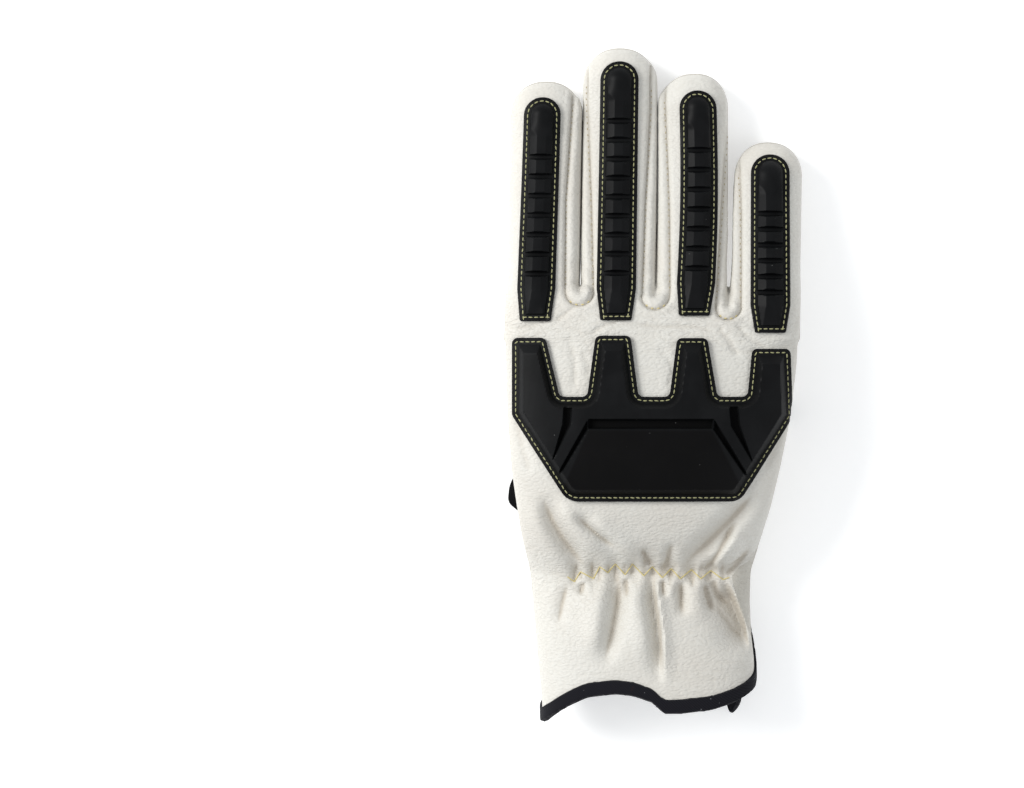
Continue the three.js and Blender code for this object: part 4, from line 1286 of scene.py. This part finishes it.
def blocks_height(plan, depth, shape):
    """Height of a guard of blocks that lies from y = 0 down: a dome, three-faced blocks and a wedge."""
    half = shape["width"] / 2
    across = np.abs(plan[:, 0])
    run = block_run(plan, shape)
    wedge = np.clip((run - (shape["length"] - shape["heel"] * 0.66)) / (shape["heel"] * 0.5), 0, 1)
    open_up = 1 - step_up((run - 0.34 * shape["crown"]) / (0.34 * shape["crown"]))
    crest = shape["crest"] + (half - shape["crest"]) * open_up + 1.2 * wedge
    body = GUARD_HEIGHT - 1.35 * wedge - FACET_SLOPE * np.maximum(0, across - crest)
    field = half - GUARD_FOOT + 0.3
    far = np.hypot(across, np.maximum(0, half - run)) / field
    dome = GUARD_LIP + (GUARD_HEIGHT - GUARD_LIP) * (1 - np.minimum(1, far) ** 2.4)
    body = body * (1 - open_up) + np.minimum(body, dome) * open_up
    for groove in block_grooves(shape):
        gap = np.abs(run - groove)
        body = np.minimum(body, GUARD_LIP - 0.1 + np.maximum(0, gap - GUARD_GROOVE / 2) * BLOCK_SLOPE)
    body = np.minimum(body, GUARD_LIP + np.maximum(0, depth - GUARD_FOOT) * 3.0)
    return np.maximum(lip_height(depth), body)


def guard_outline(shape):
    """Outline of a guard of blocks, clockwise from its lower left: a round end and a tapered heel."""
    half, top, low = (shape[width] / 2 for width in ("width", "tip_width", "heel_width"))
    length, shoulder, corner = shape["length"], -shape["length"] + shape["heel"] * 0.68, shape["corner"]
    return rounded([
        (-low, -length, corner), (-half, shoulder, 3 * corner), (-top, 0, top * 0.99),
        (top, 0, top * 0.99), (half, shoulder, 3 * corner), (low, -length, corner),
    ], 10)


def even_places(outline, pitch):
    """Places round a closed line at about a pitch, with the direction of the line at each."""
    line = np.array(outline, float)
    line = np.concatenate([line, line[:1]])
    lengths = np.linalg.norm(np.diff(line, axis=0), axis=1)
    past = np.concatenate([[0], np.cumsum(lengths)])
    count = round(past[-1] / pitch)
    spots = (np.arange(count) + 0.5) * past[-1] / count
    at = np.column_stack([np.interp(spots, past, line[:, axis]) for axis in range(2)])
    ahead = np.column_stack([np.interp(spots + 0.2, past, line[:, axis]) for axis in range(2)]) - at
    return at, unit(ahead)


def stitch_mesh():
    """One stitch: a short bead of thread that dips into the material at both ends."""
    deselect()
    bpy.ops.mesh.primitive_uv_sphere_add(segments=6, ring_count=5, radius=0.5)
    stitch = bpy.context.object
    edit(stitch)
    bpy.ops.transform.rotate(value=math.pi / 2, orient_axis="Y", center_override=(0, 0, 0))
    close_edit()
    points, faces = read_mesh(stitch)
    bpy.data.objects.remove(stitch)
    return points, faces


def sew(name, places, ahead, slot, length=STITCH_LENGTH, width=STITCH_WIDTH):
    """Row of stitches as one piece, each at its place and along its direction."""
    shape, faces = stitch_mesh()
    points, triangles = [], []
    hand = np.random.default_rng(len(name))
    for place, along in zip(places, ahead):
        x_axis = unit(unit(along) + (*hand.normal(0, 0.07, 2), 0))
        y_axis = unit(np.cross((0, 0, 1), x_axis))
        axes = np.array([x_axis, y_axis, np.cross(x_axis, y_axis)])
        triangles.append(faces + len(points) * len(shape))
        points.append(place + (shape * (length, width, width * 0.8)) @ axes)
    add_piece(name, np.concatenate(points), np.concatenate(triangles), slot)


def sew_guard(name, outline, place, height_at):
    """Stitches round a guard, in the channel of its lip."""
    places, ahead = even_places(inset_line(outline, STITCH_INSET), STITCH_PITCH)
    places = place(places)
    level = np.array([(height_at(x, y) or 0) + STITCH_LIFT for x, y in places])
    nearby = places + ahead * STITCH_PROBE
    further = np.array([(height_at(x, y) or 0) + STITCH_LIFT for x, y in nearby])
    slope = np.clip((further - level) / STITCH_PROBE, -1.2, 1.2)
    ahead = np.column_stack([ahead, slope])
    sew(f"{name}_guard_stitches", np.column_stack([places, level]), ahead, "guard_thread")


def mould_guard(name, outline, height, place, level_at, tones=None, creases=(), up=1):
    """Guard from its flat outline and the height of its top, put in place over the leather."""
    points, faces = cut_sheet(outline, creases)
    top = height(points[:, :2], depth_in(points[:, :2], outline))
    plan = place(points[:, :2])
    level = np.array([level_at(x, y) for x, y in plan])
    outer = np.column_stack([plan, level + up * top])
    body, sheet, used = thickened(outer, np.column_stack([plan, level]), faces)
    shares = {tone: np.tile(share_at(points[used, :2]), 2) for tone, share_at in (tones or {}).items()}
    add_piece(f"{name}_guard_rubber", body, sheet, "guard_rubber", f"{name}_guard", shares, MOULD_ANGLE)
    return height_finder(outer, faces)


# Finger guards: length, height of the end, width, blocks, heel, and the middle line at the heel and
# the tip as shares of HALF_PALM
FINGER_GUARDS = {
    "index": (86.0, 237.2, 14.5, 6, 18.0, -0.795, -0.752),
    "middle": (99.5, 251.0, 15.0, 8, 18.0, -0.250, -0.226),
    "ring": (86.5, 239.8, 14.6, 6, 18.0, 0.280, 0.306),
    "little": (68.5, 215.3, 15.2, 5, 15.3, 0.795, 0.802),
}
FINGER_GUARD = {"heel_width": 11.8, "crown": 23.0, "crest": 1.7, "lean": 0.0, "corner": 0.9}
RING_GUARD_BOW = 1.2


def dress_finger_guards(level_at):
    for finger, (length, end, width, blocks, heel, base, top) in FINGER_GUARDS.items():
        sizes = {"length": length, "width": width, "tip_width": width - 0.4, "blocks": blocks, "heel": heel}
        shape = {**FINGER_GUARD, **sizes}

        def place(plan):
            share = np.clip(-plan[:, 1] / length, 0, 1)
            bow = RING_GUARD_BOW * np.sin(math.pi * share) * (finger == "ring")
            middle = HALF_PALM * (top + (base - top) * share)
            return np.column_stack([plan[:, 0] + middle + bow, plan[:, 1] + end])

        outline = guard_outline(shape)
        height_at = mould_guard(
            finger, outline, lambda plan, depth: blocks_height(plan, depth, shape),
            place, level_at, creases=block_creases(shape))
        sew_guard(finger, outline, place, height_at)


# Knuckle guard: teeth as left and right foot, left and right top, and the height of the top
TOOTH_ROUND = 2.2
KNUCKLE_LOW = 83.0
KNUCKLE_FOOT = 122.6
KNUCKLE_TEETH = (
    (-35.2, -35.2, -53.4, -40.6, 144.9),
    (-24.8, -5.4, -21.6, -8.4, 145.7),
    (6.3, 24.4, 9.2, 20.6, 144.8),
    (35.8, 53.0, 37.6, 52.2, 140.8),
)
CHANNEL_SIDE = 0.8
CHANNEL_DEPTH = 2.3
PLATEAU_BLEND = 0.8
KNUCKLE_CHANNELS = (
    ((-24.5, 114.3), (23.2, 114.3), (22.8, 110.4), (-24.5, 110.4)),
    ((-24.5, 114.3), (-24.4, 110.2), (-34.8, 93.0), (-36.4, 93.0)),
    ((23.2, 114.3), (36.6, 92.2), (35.0, 92.2), (22.7, 110.2)),
    ((-33.8, 119.2), (-30.3, 118.6), (-30.8, 112.0), (-38.7, 96.4), (-34.2, 112.4)),
    ((28.6, 119.2), (32.3, 119.2), (33.0, 111.9), (38.8, 95.6), (29.4, 111.5)),
)
KNUCKLE_PLATEAU = ((-24.5, 110.4), (22.8, 110.4), (36.0, 84.5), (-36.0, 84.5))


def in_channels(plan):
    shares = [np.clip(depth_in(plan, channel) / CHANNEL_SIDE, 0, 1) for channel in KNUCKLE_CHANNELS]
    return np.max(shares, axis=0)


def knuckle_creases():
    """Edges of the sunk channels and of their sloping sides."""
    return [lambda plan, channel=channel, inset=inset: depth_in(plan, channel) - inset
            for channel in KNUCKLE_CHANNELS for inset in (0.0, CHANNEL_SIDE)]


def knuckle_outline():
    """Outline of the knuckle guard, clockwise from its lower left. The teeth have rounded corners."""
    corners = [(-32.2, KNUCKLE_LOW, 7.5), (-53.4, 115.6, 3.5)]
    for step, (left_foot, right_foot, left_top, right_top, high) in enumerate(KNUCKLE_TEETH):
        if step:
            corners.append((left_foot, KNUCKLE_FOOT, TOOTH_ROUND))
        corners += [(left_top, high, TOOTH_ROUND), (right_top, high, TOOTH_ROUND)]
        if step < len(KNUCKLE_TEETH) - 1:
            corners.append((right_foot, KNUCKLE_FOOT, TOOTH_ROUND))
    corners += [(53.2, 115.0, 3.5), (32.9, KNUCKLE_LOW, 6.0)]
    return rounded(corners)


def rounded(corners, segments=6):
    """Outline with an arc at each corner."""
    line = []
    for step, (x, y, radius) in enumerate(corners):
        here = np.array([x, y])
        before = unit(np.array(corners[step - 1][:2]) - here)
        after = unit(np.array(corners[(step + 1) % len(corners)][:2]) - here)
        half = math.acos(np.clip(before @ after, -1, 1)) / 2
        run = radius / math.tan(half)
        centre = here + unit(before + after) * radius / math.sin(half)
        start, end = here + before * run - centre, here + after * run - centre
        for share in np.linspace(0, 1, segments + 1):
            spot = start * (1 - share) + end * share
            line.append(centre + unit(spot) * radius)
    return np.array(line)


def inset_line(line, distance):
    """Closed clockwise line moved inwards."""
    before = unit(line - np.roll(line, 1, 0))
    after = unit(np.roll(line, -1, 0) - line)
    inward = unit(np.column_stack([before[:, 1] + after[:, 1], -before[:, 0] - after[:, 0]]))
    share = inward[:, 0] * before[:, 1] - inward[:, 1] * before[:, 0]
    return line + inward * (distance / np.maximum(share, 0.5))[:, None]


def knuckle_height(plan, depth):
    """Raised body with a chamfer all round, sloping ends on the teeth, and sunk channels."""
    rise = KNUCKLE_HEIGHT - GUARD_LIP
    body = np.minimum(rise, np.maximum(0, depth - GUARD_FOOT) * 1.5)
    for left_foot, right_foot, left_top, right_top, high in KNUCKLE_TEETH:
        on_tooth = (plan[:, 0] > left_top - 3) & (plan[:, 0] < right_top + 3) & (plan[:, 1] > high - 12)
        slope = np.clip((high - GUARD_FOOT - plan[:, 1]) / 3.4, 0, 1) * rise
        body = np.where(on_tooth, np.minimum(body, slope), body)
    body = np.minimum(body, rise - CHANNEL_DEPTH * in_channels(plan))
    return np.maximum(lip_height(depth), GUARD_LIP + body)


def dress_knuckle_guard(level_at):
    def place(plan):
        return plan

    outline = knuckle_outline()
    # Shares of painted shade on the guard: over its plateau and in its sunk channels
    tones = {
        "plateau_shade": lambda plan: np.clip(depth_in(plan, KNUCKLE_PLATEAU) / PLATEAU_BLEND, 0, 1),
        "channel": in_channels,
    }
    height_at = mould_guard(
        "knuckle", outline, knuckle_height, place, lambda x, y: level_at(x, y) + KNUCKLE_LIFT,
        tones, knuckle_creases())
    sew_guard("knuckle", outline, place, height_at)


# Thumb guard, on the underside of the folded thumb
THUMB_GUARD = {
    "length": 84.7, "width": 24.4, "tip_width": 19.4, "heel_width": 15.0, "crown": 18.4, "heel": 9.9,
    "blocks": 9, "crest": 3.4, "lean": 3.0, "corner": 4.0,
}
THUMB_GUARD_START = np.array([-0.757 * HALF_PALM, 0.54 * BODY_LENGTH])
THUMB_GUARD_HEADING = unit(np.array([0.637, 0.771]))
THUMB_GUARD_LEVEL = 3.65


def dress_thumb_guard():
    """The same mould as on the fingers, wider and with slanted blocks, turned over."""
    ahead = THUMB_GUARD_HEADING
    sideways = np.array([-ahead[1], ahead[0]])
    tip = THUMB_GUARD_START + ahead * (THUMB_GUARD["length"] - THUMB_GUARD["width"] / 2)

    def turned(plan):
        return np.outer(plan[:, 1], ahead) + np.outer(plan[:, 0], sideways)

    outline = guard_outline(THUMB_GUARD)
    mould_guard("thumb", outline, lambda plan, depth: blocks_height(plan, depth, THUMB_GUARD),
                lambda plan: tip + turned(plan), lambda x, y: THUMB_GUARD_LEVEL,
                creases=block_creases(THUMB_GUARD), up=-1)
    places, along = even_places(inset_line(outline, STITCH_INSET), STITCH_PITCH)
    level = np.full(len(places), THUMB_GUARD_LEVEL - GUARD_LIP - 0.02)
    sew("thumb_guard_stitches", np.column_stack([tip + turned(places), level]),
        np.column_stack([turned(along), np.zeros(len(places))]), "guard_thread")


# Thread on the leather


def dress_zigzag(height_at):
    """Thread that holds the elastic."""
    steps = np.linspace(0, len(ZIGZAG) - 1, 12 * (len(ZIGZAG) - 1) + 1)
    x, y = (np.interp(steps, range(len(ZIGZAG)), row) for row in zip(*ZIGZAG))
    path = np.array([(*spot, height_at(*spot) + 0.12) for spot in zip(x, y)])
    add_tube("elastic_zigzag", path, ELASTIC_THREAD / 2, "elastic_thread")


def dress_finger_seams(height_at):
    """Small stitches along both sides of each strip between two fingers."""
    places, ahead = [], []
    for name, (_, _, bottom, left, right, _) in FORKS.items():
        for side, reach in ((-1, left), (1, right)):
            rows = np.arange(bottom + 8, bottom + 88, 2.3)
            reaches = np.interp(rows - bottom, (0, FORK_HALF_WAY, FORK_NEAR_TIP), reach)
            line = np.column_stack([gap_line(name, rows) + side * reaches, rows])
            for start, end in zip(line, line[1:]):
                low, high = height_at(*start), height_at(*end)
                if low is None or high is None or low < 4 or abs(high - low) > 1.5:
                    continue
                places.append((*start, low))
                ahead.append((*(end - start), high - low))
    sew("finger_seam_stitches", places, np.array(ahead), "leather_thread", 0.8, 0.4)


def dress_webs(height_at):
    """A few stitches round the bottom of each strip."""
    places, ahead = [], []
    for name, (_, _, bottom, (left, _, _), (right, _, _), _) in FORKS.items():
        low = (left + right) / 2
        for turn in np.linspace(-2.25, -0.9, 4):
            x = gap_line(name, bottom) + low * math.cos(turn)
            y = bottom + low + low * math.sin(turn)
            places.append((x, y, (height_at(x, y) or 0) + 0.1))
            ahead.append((-math.sin(turn), math.cos(turn), 0.0))
    sew("web_stitches", places, np.array(ahead), "elastic_thread", 1.1, 0.5)


def add_tube(name, path, radius, slot):
    """Closed round tube along points."""
    sides = 8
    ahead = unit(np.gradient(path, axis=0))
    sideways = unit(np.cross(ahead, (0, 0, 1)))
    upward = np.cross(sideways, ahead)
    turn = np.linspace(0, 2 * math.pi, sides, endpoint=False)
    rings = [
        spot + radius * (np.outer(np.cos(turn), side) + np.outer(np.sin(turn), up))
        for spot, side, up in zip(path, sideways, upward)
    ]
    points = np.concatenate(rings)
    faces = [tuple(range(sides)), tuple(range(len(points) - sides, len(points)))]
    for low in range(0, len(points) - sides, sides):
        for step in range(sides):
            after = (step + 1) % sides
            faces.append((low + step, low + after, low + sides + after, low + sides + step))
    edit(add_piece(name, points, faces, slot))
    bpy.ops.mesh.normals_make_consistent(inside=False)
    close_edit()


# Colours of the leathers: light, warm, and a dark brown used for the grain's pits and creases and as painted
# shade in the folds and seams
LEATHERS = {
    "back_leather": ((0.655, 0.645, 0.605), (0.63, 0.61, 0.565), (0.43, 0.375, 0.30)),
    "palm_leather": ((0.54, 0.52, 0.47), (0.50, 0.48, 0.43), (0.34, 0.30, 0.24)),
}

# Colours of the threads: light and dark
THREADS = {
    "guard_thread": ((0.47, 0.46, 0.25), (0.27, 0.27, 0.12)),
    "elastic_thread": ((0.74, 0.64, 0.32), (0.58, 0.48, 0.20)),
    "leather_thread": ((0.50, 0.43, 0.26), (0.32, 0.26, 0.15)),
}

set_up_view()
set_up_studio()
materials = {"guard_rubber": moulded_rubber(), "binding_tape": binding_tape()}
for slot, tones in LEATHERS.items():
    materials[slot] = leather(slot, *tones)
for slot, tones in THREADS.items():
    materials[slot] = thread(slot, *tones)
skin, skin_faces = dress_leather()
level_over_folds = bridging_level(skin, skin_faces)
skin_height = height_finder(skin, skin_faces)
dress_finger_guards(level_over_folds)
dress_knuckle_guard(level_over_folds)
dress_thumb_guard()
dress_zigzag(skin_height)
dress_finger_seams(skin_height)
dress_webs(skin_height)
